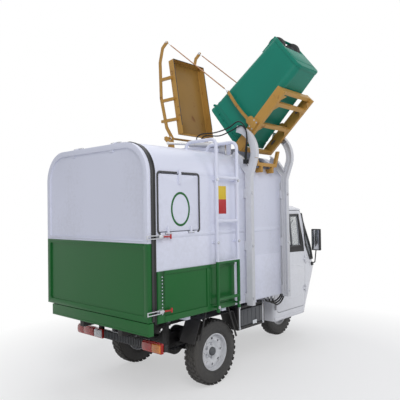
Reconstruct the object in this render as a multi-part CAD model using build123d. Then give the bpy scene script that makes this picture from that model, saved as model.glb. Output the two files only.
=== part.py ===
from build123d import *
import math
import os

# Side-loading electric three-wheeled refuse truck, tipping gear up.
# Working frame: x forward from the rear door's outer face, y left from the
# centreline, z up from the ground, all in mm. The finished nodes are moved
# once, so that the row's origin is at the bottom centre of the whole part.

# ---- box ----
box_length = 1710
box_width = 1310
floor_z = 660             # underside of the box floor
roof_z = 1965
shoulder_r = 250
wall = 25
floor_thick = 40
door_thick = 45
seal_thick = 15
bearer_h = 54             # bearers under the floor
bearer_w = 60

# ---- stations, each measured from the one behind or ahead of it ----
lift_x = box_length - 305       # middle of the lifting gear
rear_axle_x = lift_x - 555
cab_back = box_length + 35
front_axle_x = cab_back + 815

# ---- gaps ----
move_gap = 6              # between pieces that move past each other
rest_gap = 0.5            # between bodies that lie on each other
run_fit = 0.05            # radial, pin in knuckle

# ---- wheels and chassis ----
tyre_r = 272.5
tyre_w = 115
rim_r = 152.5
rim_flange_r = 166
track = 955
stub_r = 25
rail_y = 250              # chassis side member centre
rail_w = 50
rail_h = 90
rail_top_z = 605
low_rail_top_z = 390      # under the cab floor
low_rail_h = 60
tilt_x, tilt_z = 75, 632  # bed hinge

# ---- lifting gear ----
frame_half = 243          # outside of the frame's side bars
bar_w = 30
bar_front, bar_back = 30, -60   # side bar's depth either side of its line
frame_len = 645
tip_deg = 43.4            # frame's slope at rest
tip_travel = 133.4
lift_travel = 1340
lever_w = 10
guide_w = 40              # guide rail width
guide_d = 60              # guide rail depth
guide_gap = 7             # lever to guide rail
guide_y = -50             # guide rail middle, from the box side
guide_foot_z = 640
pivot_in_r = 228          # roller path about the inner track's end
inner_end = (116, 1944)   # inner track's end, (from box side, z)
frame_base = (-354, 2461) # frame's outer end, (from box side, z)

# ---- bin ----
bin_depth_base, bin_depth_rim = 385, 465
bin_width_base, bin_width_rim = 330, 444
bin_len = 865
bin_wall = 6
bin_rim_s = 643           # rim's front edge, along the frame from its outer end
bin_corner_r = 50

# ---- hopper and lid ----
mouth_x = (lift_x - 208, lift_x + 208)
mouth_in = (200, 870)     # from box side
sill_z = 1830
collar_top_z = 2075
collar_wall = 10
lid_hinge = (920, 2180)   # (from box side, z)
lid_w, lid_len, lid_depth, lid_wall = 455, 775, 70, 4
lid_lean = 9.4
lid_travel = 95
rod_fold = 47.3
arm_tip = (980, 3165)
lever_tip = (197, 2526)

# ---- cab ----
cab_wall = 25
door_x = (cab_back + 50, cab_back + 575)
door_z = (440, 1440)
door_gap = 6
cab_rows = (              # z, nose and corner ahead of the cab's back, half width, nose half width
    (360, 875, 585, 520, 200),
    (800, 1105, 755, 532, 250),
    (1000, 1075, 730, 532, 250),
    (1460, 755, 590, 495, 230),
)
cab_corner_r, nose_corner_r, cab_back_r = 150, 110, 35
roof_row = (1490, 695, 535, 440, 180)
seat_z = 640

half = box_width / 2
rake_top = (cab_back + 605, 850)    # a point on the steering axis


def block(x0, x1, y0, y1, z0, z1):
    return Pos((x0 + x1) / 2, (y0 + y1) / 2, (z0 + z1) / 2) * Box(abs(x1 - x0), abs(y1 - y0), abs(z1 - z0))


def from_cab(points):
    """An outline in x and z, with x counted from the cab's back."""
    return [(cab_back + x, z) for x, z in points]


def rod(r, start, end):
    a, b = Vector(*start), Vector(*end)
    plane = Plane(origin=a, z_dir=b - a)
    return extrude(plane * Circle(r), amount=(b - a).length)


def side_plate(points, y0, y1, r=0):
    """An outline in x and z, carried from y0 to y1."""
    plane = Plane(origin=(0, y1, 0), x_dir=(1, 0, 0), z_dir=(0, -1, 0))
    face = make_face(Polyline(*points, close=True))
    if r:
        face = fillet(face.vertices(), r)
    return extrude(plane * face, amount=y1 - y0)


def cross_plate(points, x0, x1, r=0):
    """An outline in y and z, carried from x0 to x1."""
    plane = Plane(origin=(x0, 0, 0), x_dir=(0, 1, 0), z_dir=(1, 0, 0))
    face = make_face(Polyline(*points, close=True))
    if r:
        face = fillet(face.vertices(), r)
    return extrude(plane * face, amount=x1 - x0)


def tube(points, r, bend):
    path = FilletPolyline(*points, radius=bend)
    return sweep(Plane(origin=path @ 0, z_dir=path % 0) * Circle(r), path=path)


def mirror_y(part):
    return mirror(part, about=Plane.XZ)


def hinge(centre, direction, length, r, pin_r):
    """A fixed fork with its pin, and the knuckle that turns on it."""
    axis = Vector(*direction).normalized()
    mid = Vector(*centre)
    third = length / 3

    def run(radius, start, end):
        return rod(radius, tuple(mid + axis * start), tuple(mid + axis * end))
    fixed = run(r, -1.5 * third, -0.5 * third) + run(r, 0.5 * third, 1.5 * third)
    fixed += run(pin_r, -1.5 * third, 1.5 * third)
    turning = run(r, -0.5 * third + rest_gap, 0.5 * third - rest_gap) - run(pin_r + run_fit, -third, third)
    return fixed, turning


def from_side(v):
    """Distance in from the box's right side, as y."""
    return v - half


def box_outline(inset, x0, x1, z0=floor_z, z1=roof_z):
    w = half - inset
    top = z1 - inset
    face = make_face(Polyline((-w, z0), (w, z0), (w, top), (-w, top), close=True))
    face = fillet(face.vertices().sort_by(Axis.Y)[-2:], shoulder_r - inset)
    return extrude(Plane(origin=(x0, 0, 0), x_dir=(0, 1, 0), z_dir=(1, 0, 0)) * face, amount=x1 - x0)


nodes = {}
hinges = {}

# ---- refuse box ----
shell_x = door_thick + seal_thick
shell = box_outline(0, shell_x, box_length)
shell -= box_outline(wall, shell_x - 1, box_length - wall, z0=floor_z - 1)
shell -= block(*mouth_x, from_side(mouth_in[0]), from_side(mouth_in[1]), roof_z - wall - 5, roof_z + 5)
shell -= block(*mouth_x, from_side(-5), from_side(mouth_in[0]), sill_z, roof_z + 5)
shell -= block(box_length - wall - 1, box_length + 1, -half + wall, half - wall, floor_z - 1, floor_z
               + floor_thick)

ladder_x = (lift_x - 710, lift_x - 445)
hatch_x, hatch_z, hatch_r = (110, ladder_x[0] - 175), (1310, 1726), 12
latch_mid = (hatch_x[0] + hatch_x[1]) / 2 + 3
hatch_latch_x = (latch_mid - 23, latch_mid + 23)
hatch_gap = 6


def hatch_panel(grow, y0, y1):
    x0, x1 = hatch_x[0] - grow, hatch_x[1] + grow
    z0, z1 = hatch_z[0] - grow, hatch_z[1] + grow
    return side_plate([(x0, z0), (x1, z0), (x1, z1), (x0, z1)], y0, y1, r=max(hatch_r + grow, 6))


shell -= hatch_panel(hatch_gap, -half - 1, -half + wall + 1)
nodes["box_shell"] = shell

floor = block(shell_x, box_length - wall, -half + wall, half - wall, floor_z, floor_z + floor_thick)
bearer_x = (150, box_length - 40)
for side in (-1, 1):
    floor += block(*bearer_x, side * rail_y - bearer_w / 2, side * rail_y + bearer_w / 2, floor_z
                   - bearer_h, floor_z)
for x in (rear_axle_x - 430, rear_axle_x, rear_axle_x + 430):
    floor += block(x - 25, x + 25, -half + wall, half - wall, floor_z - 30, floor_z)
nodes["box_floor"] = floor

# rubber frame between box and rear door
door_foot_z = floor_z + 20
seal = box_outline(0, door_thick, shell_x, z0=door_foot_z) - box_outline(28, door_thick - 1, shell_x + 1,
                                                                         z0=door_foot_z + 28)
hatch_ring = hatch_panel(hatch_gap + 14, -half - 5, -half) - hatch_panel(hatch_gap, -half - 6, -half + 1)
hatch_ring -= block(hatch_x[0] + 10, hatch_x[1] - 10, -half - 6, -half + 1, hatch_z[0] - 30, hatch_z[0]
                    + 30)
hatch_ring -= block(*hatch_latch_x, -half - 6, -half + 1, hatch_z[1], hatch_z[1] + 30)
nodes["seals"] = Part() + [seal, hatch_ring]

# rear door with its pressed panels
door = box_outline(0, 0, door_thick, z0=door_foot_z)
low_press_z, high_press_z = (722, 1200), 1262     # pressed panels
press_depth, press_in, press_r = 12, 42, 18
y1 = half - press_in
door -= cross_plate([(-y1, low_press_z[0]), (y1, low_press_z[0]), (y1, low_press_z[1]),
                     (-y1, low_press_z[1])], -1, press_depth, r=press_r)
door -= box_outline(press_in, -1, press_depth, z0=high_press_z)
door_hinge_x, door_hinge_z = door_thick + 10, roof_z + 13
door_knuckle_r, door_pin_r = 9, 4
box_side_knuckles = Part()
for y in (-250, 250):
    fixed, turning = hinge((door_hinge_x, y, door_hinge_z), (0, 1, 0), 120, door_knuckle_r, door_pin_r)
    fixed += block(door_hinge_x, door_hinge_x + 80, y - 60, y - 21, roof_z, door_hinge_z - 5)
    fixed += block(door_hinge_x, door_hinge_x + 80, y + 21, y + 60, roof_z, door_hinge_z - 5)
    box_side_knuckles += fixed - block(0, shell_x, y - 70, y + 70, roof_z - 20, roof_z + 3)
    ear = side_plate([(5, roof_z - 60), (door_thick, roof_z - 60), (door_thick, roof_z),
                      (door_hinge_x, door_hinge_z - 4),
                      (door_hinge_x - 5, door_hinge_z + 7), (5, roof_z)], y - 19, y + 19)
    door += ear - rod(door_pin_r + run_fit, (door_hinge_x, y - 30, door_hinge_z), (door_hinge_x, y + 30,
                                                                                   door_hinge_z))
    door += turning
nodes["rear_door"] = door
nodes["door_hinges"] = box_side_knuckles

# side hatch
hatch = hatch_panel(0, -half, -half + wall)
hatch -= hatch_panel(-30, -half + 4, -half + wall + 1)
hatch_hinge_y, hatch_hinge_z = -half - 8, hatch_z[0] - 14
hatch_fixed = Part()
for x in (hatch_x[0] + 85, hatch_x[1] - 85):
    fixed, turning = hinge((x, hatch_hinge_y, hatch_hinge_z), (1, 0, 0), 60, 7, 3)
    hatch_fixed += fixed
    strap = block(x - 9, x + 9, -half - 12, -half, hatch_hinge_z, hatch_z[0] + 34)
    hatch += strap - rod(3 + run_fit, (x - 20, hatch_hinge_y, hatch_hinge_z), (x + 20, hatch_hinge_y,
                                                                               hatch_hinge_z))
    hatch += turning
hatch += block(latch_mid - 11, latch_mid + 11, -half - 14, -half + 8, hatch_z[1] - 70, hatch_z[1] + 34)
hatch -= block(latch_mid - 20, latch_mid + 20, -half - move_gap, -half + 10, hatch_z[1], hatch_z[1] + 40)
nodes["side_hatch"] = hatch
nodes["door_hinges"] += hatch_fixed

# rear skirt below the door
skirt_short = 70          # the skirt stops short of the left side
skirt_sheet = 8
nodes["rear_skirt"] = block(0, shell_x - 12, -half, half - skirt_short, floor_z - 75, door_foot_z - 6) \
    - block(skirt_sheet, shell_x, -half + skirt_sheet, half - skirt_short - skirt_sheet, floor_z - 76,
            floor_z - 20)

# toggle clamps on the right side
clamps = Part()
clamp_y = -half - 21
bail_end = -22
for z in (748, 1276):
    clamps += block(78, 130, -half - 8, -half, z - 13, z + 13)
    clamps += block(84, 120, clamp_y - 9, -half - 8, z - 12, z + 12)
    for z0, z1 in ((z + 9, z + 9), (z - 13, z - 13)):
        clamps += rod(4, (100, clamp_y, z0), (bail_end, clamp_y, z1))
    clamps += rod(4, (bail_end, clamp_y, z - 17), (bail_end, clamp_y, z + 13))
    clamps += rod(5, (110, clamp_y, z), (205, clamp_y, z - 4)) + rod(7, (205, clamp_y, z - 20),
                                                                     (205, clamp_y, z + 12))
nodes["door_clamps"] = clamps

# ladder
ladder_r = 14
ladder_out = 45
ladder = Part()
for x in ladder_x:
    ladder += tube([(x, -half - ladder_out, 650), (x, -half - ladder_out, roof_z + 62),
                    (x, -half + 285, roof_z + 62), (x, -half + 285, roof_z)], ladder_r, 55)
for z in (750, 1040, 1370, 1720):
    ladder += rod(ladder_r - 1, (ladder_x[0], -half - ladder_out, z), (ladder_x[1], -half - ladder_out, z))
for x in ladder_x:
    for z in (690, 1200, 1700):
        ladder += rod(8, (x, -half - ladder_out, z), (x, -half, z))
nodes["ladder"] = ladder

# guide rails, each with an outer track that curls over and an inner one
pivot = (inner_end[0] - pivot_in_r * math.cos(math.radians(tip_deg)),
         inner_end[1] + pivot_in_r * math.sin(math.radians(tip_deg)))
guide_top_z = 1800


def ring_part(r0, r1, deg0, deg1, x0, x1):
    """A stretch of ring about the inner track's end, angles from inward (+y)."""
    cy, cz = from_side(inner_end[0]), inner_end[1]
    reach = 3 * r1
    fan = [(cy, cz)]
    steps = 6
    for i in range(steps + 1):
        a = math.radians(deg0 + (deg1 - deg0) * i / steps)
        fan.append((cy + reach * math.cos(a), cz + reach * math.sin(a)))
    plane = Plane(origin=(x0, 0, 0), x_dir=(0, 1, 0), z_dir=(1, 0, 0))
    ring = plane * (Pos(cy, cz) * (Circle(r1) - Circle(r0)))
    return extrude(ring, amount=x1 - x0) & cross_plate(fan, x0 - 1, x1 + 1)


def band(points, d, x0, x1):
    """A straight-sided strip of depth d along points in (from box side, z)."""
    strip = None
    for (v0, z0), (v1, z1) in zip(points, points[1:]):
        run = math.hypot(v1 - v0, z1 - z0)
        nv, nz = -(z1 - z0) / run * d / 2, (v1 - v0) / run * d / 2
        quad = cross_plate([(from_side(v0 + nv), z0 + nz), (from_side(v1 + nv), z1 + nz),
                            (from_side(v1 - nv), z1 - nz), (from_side(v0 - nv), z0 - nz)], x0, x1)
        knee = rod(d / 2, (x0, from_side(v0), z0), (x1, from_side(v0), z0))
        strip = quad + knee if strip is None else strip + quad + knee
    return strip


arc_deg = (103, 190)
arc_foot = (inner_end[0] + pivot_in_r * math.cos(math.radians(arc_deg[1])),
            inner_end[1] + pivot_in_r * math.sin(math.radians(arc_deg[1])))
outer_run = [(guide_y, guide_top_z - 60), arc_foot]
inner_run = [(guide_y, guide_top_z - 20), (guide_y + 90, guide_top_z + 95), inner_end]
slot_w, slot_d = 44, 28
roller_pin_r = 6


def guide_rail(x0, x1, open_side):
    rail = block(x0, x1, from_side(guide_y - guide_d / 2), from_side(guide_y + guide_d / 2), guide_foot_z,
                 guide_top_z)
    rail += band(outer_run, guide_d, x0, x1)
    rail += ring_part(pivot_in_r - guide_d / 2, pivot_in_r + guide_d / 2, *arc_deg, x0, x1)
    rail += band(inner_run, guide_d, x0, x1)
    s0, s1 = (x1 - slot_d, x1 + 1) if open_side > 0 else (x0 - 1, x0 + slot_d)
    rail -= block(s0, s1, from_side(guide_y - slot_w / 2), from_side(guide_y + slot_w / 2), guide_foot_z
                  + 20, guide_top_z - 30)
    rail -= band(outer_run, slot_w, s0, s1)
    rail -= ring_part(pivot_in_r - slot_w / 2, pivot_in_r + slot_w / 2, arc_deg[0] + 5, arc_deg[1] + 1, s0,
                      s1)
    rail -= band(inner_run, slot_w, s0, s1)
    feet = Part()
    for z in (700, 1150, 1600):
        feet += block(x0, x1, from_side(guide_y + guide_d / 2), from_side(0), z - 40, z + 40)
    py, pz = from_side(pivot[0]), pivot[1]
    rail += rod(roller_pin_r, (x0 + 2, py, pz), (x1, py, pz)) if open_side > 0 else rod(roller_pin_r,
                                                                                        (x0, py, pz),
                                                                                        (x1 - 2, py, pz))
    return (rail + feet) - box_outline(0, x0 - 5, x1 + 5)


guide_near = (lift_x - frame_half - lever_w - guide_gap - guide_w, lift_x - frame_half - lever_w
              - guide_gap)
guide_far = (2 * lift_x - guide_near[1], 2 * lift_x - guide_near[0])
rails = guide_rail(*guide_near, 1) + guide_rail(*guide_far, -1)
nodes["guide_rails"] = rails

# yellow guard beam over the sill, between the guide rails
lip_y = (from_side(-50), from_side(-24))
lip_line = ((205, 1996), (147, 1845), (-147, 1845), (-205, 1996), (-173, 1996), (-127, 1875), (127, 1875),
            (173, 1996))
lip = side_plate([(lift_x - x, z) for x, z in lip_line], *lip_y)
for x in (lift_x - 85, lift_x + 85):
    lip += block(x - 13, x + 13, *lip_y, 1790, 1870) + block(x - 13, x + 13, lip_y[1], from_side(60), 1790,
                                                             sill_z - 2)
lip -= box_outline(0, lift_x - 225, lift_x + 235)
nodes["sill_lip"] = lip

# collar round the hopper's mouth
c0, c1 = mouth_x[0] - collar_wall, mouth_x[1] + collar_wall
v0, v1 = mouth_in
collar = block(c0, c1, from_side(v0), from_side(v1 + collar_wall), roof_z - shoulder_r, collar_top_z)
collar -= block(*mouth_x, from_side(v0 - 1), from_side(v1), roof_z - shoulder_r - 1, collar_top_z + 1)
collar -= box_outline(0, c0 - 5, c1 + 5)
nodes["hopper_collar"] = collar

# lid lugs on the roof
lug_w = 14
arm_x = (lift_x - frame_half - lever_w - 2, lift_x - frame_half)
lug_near = (arm_x[0] - rest_gap - lug_w, arm_x[0] - rest_gap)
lid_pin_r = 11
lugs = Part()
hy, hz = from_side(lid_hinge[0]), lid_hinge[1]
for x0, x1 in (lug_near, (2 * lift_x - lug_near[1], 2 * lift_x - lug_near[0])):
    cheek = cross_plate([(hy - 60, roof_z), (hy + 60, roof_z), (hy + 24, hz + 22), (hy - 24, hz + 22)], x0,
                        x1)
    foot = block(x0 - 40, x1 + 0, hy - 75, hy + 75, roof_z, roof_z + 8) if x0 < lift_x \
        else block(x0 - 0, x1 + 20, hy - 75, hy + 75, roof_z, roof_z + 8)
    lugs += (cheek + foot) - rod(lid_pin_r + run_fit, (x0 - 50, hy, hz), (x1 + 50, hy, hz))
nodes["lid_lugs"] = lugs

# ---- tipping frame and bin, drawn flat on the frame's own plane ----
# local x forward, local y along the frame from its outer end, local z to the bin
slope = math.radians(tip_deg)
frame_plane = Plane(origin=(0, from_side(frame_base[0]), frame_base[1]), x_dir=(1, 0, 0),
                    z_dir=(0, math.sin(slope), math.cos(slope)))
on_frame = Location(frame_plane)
fx0, fx1 = lift_x - frame_half, lift_x + frame_half


def to_frame(v, z):
    dv, dz = v - frame_base[0], z - frame_base[1]
    return (dv * math.cos(slope) - dz * math.sin(slope), dv * math.sin(slope) + dz * math.cos(slope))


bin_frame = block(fx0, fx0 + bar_w, 0, frame_len, bar_back, bar_front)
bin_frame += block(fx1 - bar_w, fx1, 0, frame_len, bar_back, bar_front)
cross_bars = (             # along, low, high
    (0, -30, 22), (105, bar_back, bar_back + 34), (330, bar_back, bar_back + 34), (611, bar_back,
                                                                                   bar_back + 34),
)
for s, w0, w1 in cross_bars:
    bin_frame += block(fx0, fx1, s, s + 34, w0, w1)
lever_s, lever_w_end = to_frame(*lever_tip)
root_s = lever_s + 30
for x0 in (fx0 - lever_w, fx1):
    arm = make_face(Polyline((root_s - 42, bar_front - 10), (root_s + 32, bar_front - 10),
                             (root_s + 32, 62), (root_s + 16, 84),
                             (root_s + 14, 170), (root_s + 6, 270), (lever_s + 13, lever_w_end - 8),
                             (lever_s + 8, lever_w_end + 10),
                             (lever_s - 8, lever_w_end + 10), (lever_s - 13, lever_w_end - 4),
                             (root_s - 19, 262), (root_s - 11, 165),
                             (root_s - 12, 84), (root_s - 42, 62), close=True))
    plane = Plane(origin=(x0, 0, 0), x_dir=(0, 1, 0), z_dir=(1, 0, 0))
    bin_frame += extrude(plane * arm, amount=lever_w)
# pins at the levers' tips, for the thin rods up to the lid's arms
rod_x = (fx0 + 2.5, fx0 + 9.5)
rod_pin_r = 5
for x0, x1 in ((fx0 - lever_w, rod_x[1] + 1), (2 * lift_x - rod_x[1] - 1, fx1 + lever_w)):
    bin_frame += rod(rod_pin_r, (x0, lever_s, lever_w_end), (x1, lever_s, lever_w_end))
nodes["bin_frame"] = on_frame * bin_frame

bin_foot = bar_front + 3


bin_lean = math.degrees(math.atan((bin_depth_rim - bin_depth_base) / bin_len))
on_bin = on_frame * Pos(lift_x, bin_rim_s, bin_foot) * Rot(bin_lean, 0, 0)
# in the bin's own frame: y from the base (-bin_len) to the rim (0), z from the frame's side to the back


def bin_solid(grow, y0, y1):
    """The tapered tub, its back wall straight."""
    def section(y):
        k = 1 + y / bin_len
        w = bin_width_base + (bin_width_rim - bin_width_base) * k + 2 * grow
        d = bin_depth_base + (bin_depth_rim - bin_depth_base) * k + 2 * grow
        plane = Plane(origin=(0, y, bin_depth_rim + grow - d / 2), x_dir=(1, 0, 0), z_dir=(0, 1, 0))
        return plane * RectangleRounded(w, d, bin_corner_r + grow)
    return loft([section(y0), section(y1)], ruled=True)


tub = bin_solid(0, -bin_len, 0)
for grow, y0, y1 in ((6, -30, 0), (3, -96, -84)):     # rim and the rib under it
    tub += bin_solid(grow, y0, y1) & block(-300, 300, y0 - 1, y1 + 1, 0, 600)
grip_z = bin_depth_rim + 32
for x in (-150, 0, 150):
    tub += block(x - 8, x + 8, -36, -10, bin_depth_rim - 20, grip_z)
bin_wheel_r, bin_axle_y, bin_axle_z = 78, 62 - bin_len, bin_depth_rim - 58
recess = (-146, 146, -bin_len - 1, bin_axle_y + bin_wheel_r + 10, bin_axle_z - bin_wheel_r - 10,
          bin_depth_rim + 20)
recess_grown = (recess[0] - bin_wall, recess[1] + bin_wall, recess[2], recess[3] + bin_wall, recess[4]
                - bin_wall, recess[5])
tub -= bin_solid(-bin_wall, bin_wall - bin_len, 1) - block(*recess_grown)
tub -= block(*recess)
tub += rod(11, (-172, -23, grip_z), (172, -23, grip_z))
bin_axle_r = 9
for x in (-30, 30):
    tub += block(x - 10, x + 10, bin_axle_y - 16, recess[3] + 2, bin_axle_z - 16, bin_axle_z + 16)
tub -= rod(bin_axle_r + run_fit, (-60, bin_axle_y, bin_axle_z), (60, bin_axle_y, bin_axle_z))
nodes["bin_tub"] = on_bin * tub

bin_wheels = rod(bin_axle_r, (-140, bin_axle_y, bin_axle_z), (140, bin_axle_y, bin_axle_z))
for x in (-138, 96):
    bin_wheels += rod(bin_wheel_r, (x, bin_axle_y, bin_axle_z), (x + 42, bin_axle_y, bin_axle_z))
nodes["bin_wheels"] = on_bin * bin_wheels

# guide rollers at the tipping pivot, one in each rail's outer track
roller_r = 19
py, pz = from_side(pivot[0]), pivot[1]
rollers = Part()
for x0, x1 in ((guide_near[1] - slot_d + 1, guide_near[1]), (guide_far[0], guide_far[0] + slot_d - 1)):
    rollers += rod(roller_r, (x0, py, pz), (x1, py, pz)) - rod(roller_pin_r + run_fit, (x0 - 5, py, pz),
                                                               (x1 + 5, py, pz))
nodes["guide_rollers"] = rollers

# ---- hopper lid with its arms, standing open ----
lean = math.radians(lid_lean)
lid_plane = Plane(origin=(0, from_side(850), 2215), x_dir=(1, 0, 0), z_dir=(0, -math.cos(lean),
                                                                            math.sin(lean)))
# local x forward, local y up the lid, local z to the bin side
lid_at = Location(lid_plane)
lx0, lx1 = lift_x - lid_w / 2, lift_x + lid_w / 2
lid = block(lx0, lx1, 0, lid_len, -lid_wall, lid_depth - lid_wall)
lid -= block(lx0 + lid_wall, lx1 - lid_wall, lid_wall, lid_len - lid_wall, 0, lid_depth)
# the hinge end's flange stays low, to pass the collar
lid -= block(lx0 + lid_wall, lx1 - lid_wall, -1, lid_wall + 1, 12, lid_depth)
nodes["hopper_lid"] = lid_at * lid

tip_y, tip_z = from_side(arm_tip[0]), arm_tip[1]
arm_line = [(hy - 5, hz), (hy + 75, hz + 120), (hy + 150, hz + 430), (hy + 160, hz + 800),
            (hy + 120, hz + 940)]
arms = Part()
arm_d = 34
for x0, x1 in (arm_x, (2 * lift_x - arm_x[1], 2 * lift_x - arm_x[0])):
    shifted = [(y + half, z) for y, z in arm_line + [(tip_y, tip_z)]]
    bar = band(shifted, arm_d, x0, x1)
    bar += rod(arm_d / 2 + 4, (x0, hy, hz), (x1, hy, hz))
    bar += rod(14, (x0, tip_y, tip_z), (x1, tip_y, tip_z))
    arms += bar
back_y = from_side(850)


def lid_back(z):
    return back_y + (z - 2215) * math.tan(lean) + lid_wall


for z in (hz + 190, hz + 400, hz + 620):
    y_arm = hy + 150
    for x0, x1 in ((arm_x[0], lx0), (lx1, 2 * lift_x - arm_x[0])):
        arms += block(x0, x1, lid_back(z) - 30, y_arm, z - 14, z + 14)
crank_x = (lift_x - 347, lift_x - 335)
arms += rod(lid_pin_r, (crank_x[0], hy, hz), (2 * lift_x - lug_near[0] + 6, hy, hz))
crank_r, crank_deg = 90, -135
crank_y = hy + crank_r * math.cos(math.radians(crank_deg))
crank_z = hz + crank_r * math.sin(math.radians(crank_deg))
arms += cross_plate([(hy - 16, hz + 16), (hy + 16, hz - 16), (crank_y + 12, crank_z - 12),
                     (crank_y - 12, crank_z + 12)], *crank_x, r=8)
nodes["lid_arms"] = arms

# thin rods from the tipping frame's levers up to the arms' tips
lever_y, lever_z = from_side(lever_tip[0]), lever_tip[1]
lid_rods = Part()
for x0, x1 in (rod_x, (2 * lift_x - rod_x[1], 2 * lift_x - rod_x[0])):
    middle = (x0 + x1) / 2
    link = rod(3.2, (middle, tip_y, tip_z), (middle, lever_y, lever_z))
    for y, z in ((tip_y, tip_z), (lever_y, lever_z)):
        link += rod(12, (x0, y, z), (x1, y, z))
    link -= rod(rod_pin_r + run_fit, (x0 - 1, lever_y, lever_z), (x1 + 1, lever_y, lever_z))
    lid_rods += link
nodes["lid_rods"] = lid_rods

# roof cylinder that works the lid's crank
ram_foot = (from_side(170), 2024)
ram_x = crank_x[0] - 16


def on_ram(k):
    return (ram_x, ram_foot[0] + k * (crank_y - ram_foot[0]), ram_foot[1] + k * (crank_z - ram_foot[1]))


ram_barrel = rod(26, on_ram(0.04), on_ram(0.58)) - rod(12.5, on_ram(0.12), on_ram(0.60))
ram_barrel += cross_plate([(ram_foot[0] - 34, roof_z - 90), (ram_foot[0] + 46, roof_z - 90),
                           (ram_foot[0] + 30, ram_foot[1] + 20),
                           (ram_foot[0] - 30, ram_foot[1] + 20)], ram_x - 9, ram_x + 9) - box_outline(0,
                                                                                                      ram_x - 20, ram_x + 20)
nodes["lid_ram_barrel"] = ram_barrel
nodes["lid_ram_rod"] = rod(12, on_ram(0.20), on_ram(0.99)) \
    + rod(16, (ram_x - 10, crank_y, crank_z), (ram_x + 10, crank_y, crank_z)) \
    + rod(8, (ram_x - 14, crank_y, crank_z), (crank_x[0] - 2, crank_y, crank_z))

# ---- wheels ----


def tyre(x, y):
    face = make_face(Polyline((rim_r, -tyre_w / 2 + 12), (rim_r, tyre_w / 2 - 12), (rim_r + 40, tyre_w / 2),
                              (tyre_r - 30, tyre_w / 2), (tyre_r - 4, tyre_w / 2 - 22), (tyre_r, 0),
                              (tyre_r - 4, -tyre_w / 2 + 22), (tyre_r - 30, -tyre_w / 2),
                              (rim_r + 40, -tyre_w / 2), close=True))
    ring = revolve(Plane.XY * face, axis=Axis.Y)
    return Pos(x, y, tyre_r) * ring


def rim(x, y, out):
    """A pressed disc wheel; out is the side its dish faces."""
    seat = [(rim_r, 46), (rim_r, -46), (rim_r - 8, -46), (rim_r - 10, 46)]
    barrel = revolve(make_face(Polyline(*seat, close=True)), axis=Axis.Y)
    dish = [(0, 2), (38, 2), (46, -16), (70, -16), (96, 8), (118, 8), (rim_r - 4, -6), (rim_r - 4, 2),
            (120, 15),
            (92, 15), (66, -8), (50, -8), (42, 10), (0, 10)]
    disc = revolve(make_face(Polyline(*[(r, out * h) for r, h in dish], close=True)), axis=Axis.Y)
    for i in range(8):
        a = math.radians(45 * i)
        disc -= rod(11, (107 * math.cos(a), -60, 107 * math.sin(a)), (107 * math.cos(a), 60,
                                                                      107 * math.sin(a)))
    hub = rod(42, (0, -out * 50, 0), (0, out * 10, 0))
    wheel = barrel + disc + hub - rod(stub_r + run_fit, (0, -out * 60, 0), (0, -out * 4, 0))
    return Pos(x, y, tyre_r) * wheel


wheel_y = track / 2
for name, x, y, out in (("right", rear_axle_x, -wheel_y, -1), ("left", rear_axle_x, wheel_y, 1)):
    nodes[f"tyre_{name}"] = tyre(x, y)
    nodes[f"rim_{name}"] = rim(x, y, out)
nodes["tyre_front"] = tyre(front_axle_x, 0)
front_rim = revolve(make_face(Polyline((rim_r, 46), (rim_r, -46), (rim_r - 8, -46), (rim_r - 10, 46),
                                       close=True)), axis=Axis.Y)
front_rim += rod(30, (0, -50, 0), (0, 50, 0)) + (rod(rim_r - 6, (0, -6, 0), (0, 6, 0)))
for i in range(6):
    a = math.radians(60 * i + 30)
    front_rim -= rod(26, (92 * math.cos(a), -60, 92 * math.sin(a)), (92 * math.cos(a), 60,
                                                                     92 * math.sin(a)))
front_rim -= rod(10 + run_fit, (0, -60, 0), (0, 60, 0))
nodes["rim_front"] = Pos(front_axle_x, 0, tyre_r) * front_rim

# ---- chassis ----
rail_z0 = rail_top_z - rail_h
frame_back = 70
step_x = (box_length - 70, box_length - 10)      # where the side members step down
neck_x = cab_back + 485
chassis = Part()
for side in (-1, 1):
    y0, y1 = side * rail_y - rail_w / 2, side * rail_y + rail_w / 2
    chassis += side_plate([(frame_back, rail_z0), (step_x[0], rail_z0), (step_x[0], low_rail_top_z
                                                                         - low_rail_h),
                           (neck_x, low_rail_top_z - low_rail_h), (neck_x, low_rail_top_z),
                           (step_x[1], low_rail_top_z),
                           (step_x[1], rail_top_z), (frame_back, rail_top_z)], y0, y1)
for x in (frame_back + 110, rear_axle_x - 290, lift_x - 105, step_x[0] + 15):
    chassis += block(x - 25, x + 25, -rail_y, rail_y, rail_z0 + 10, rail_top_z - 10)
for x in (cab_back + 55, neck_x - 35):
    chassis += block(x - 25, x + 25, -rail_y, rail_y, low_rail_top_z - low_rail_h + 5, low_rail_top_z - 5)

# steering axis, raked, and the head tube round it
axle_z = tyre_r
rake = math.atan2(front_axle_x - rake_top[0], rake_top[1] - axle_z)


def on_steer(z, off=0):
    """A point on the steering axis at height z, moved forward by off."""
    k = (rake_top[1] - z) / (rake_top[1] - axle_z)
    return (rake_top[0] + k * (front_axle_x - rake_top[0]) + off, 0, z)


stem_r, head_r = 15, 30
head_z = (705, 850)
head = rod(head_r, on_steer(head_z[0]), on_steer(head_z[1])) - rod(stem_r + run_fit, on_steer(head_z[0]
                                                                                              - 40),
                                                                   on_steer(head_z[1] + 40))
neck_r = 19


def neck_run(side):
    return (neck_x - 25, side * rail_y, low_rail_top_z - neck_r), (on_steer(780)[0] - 20, side * 12, 780)


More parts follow.
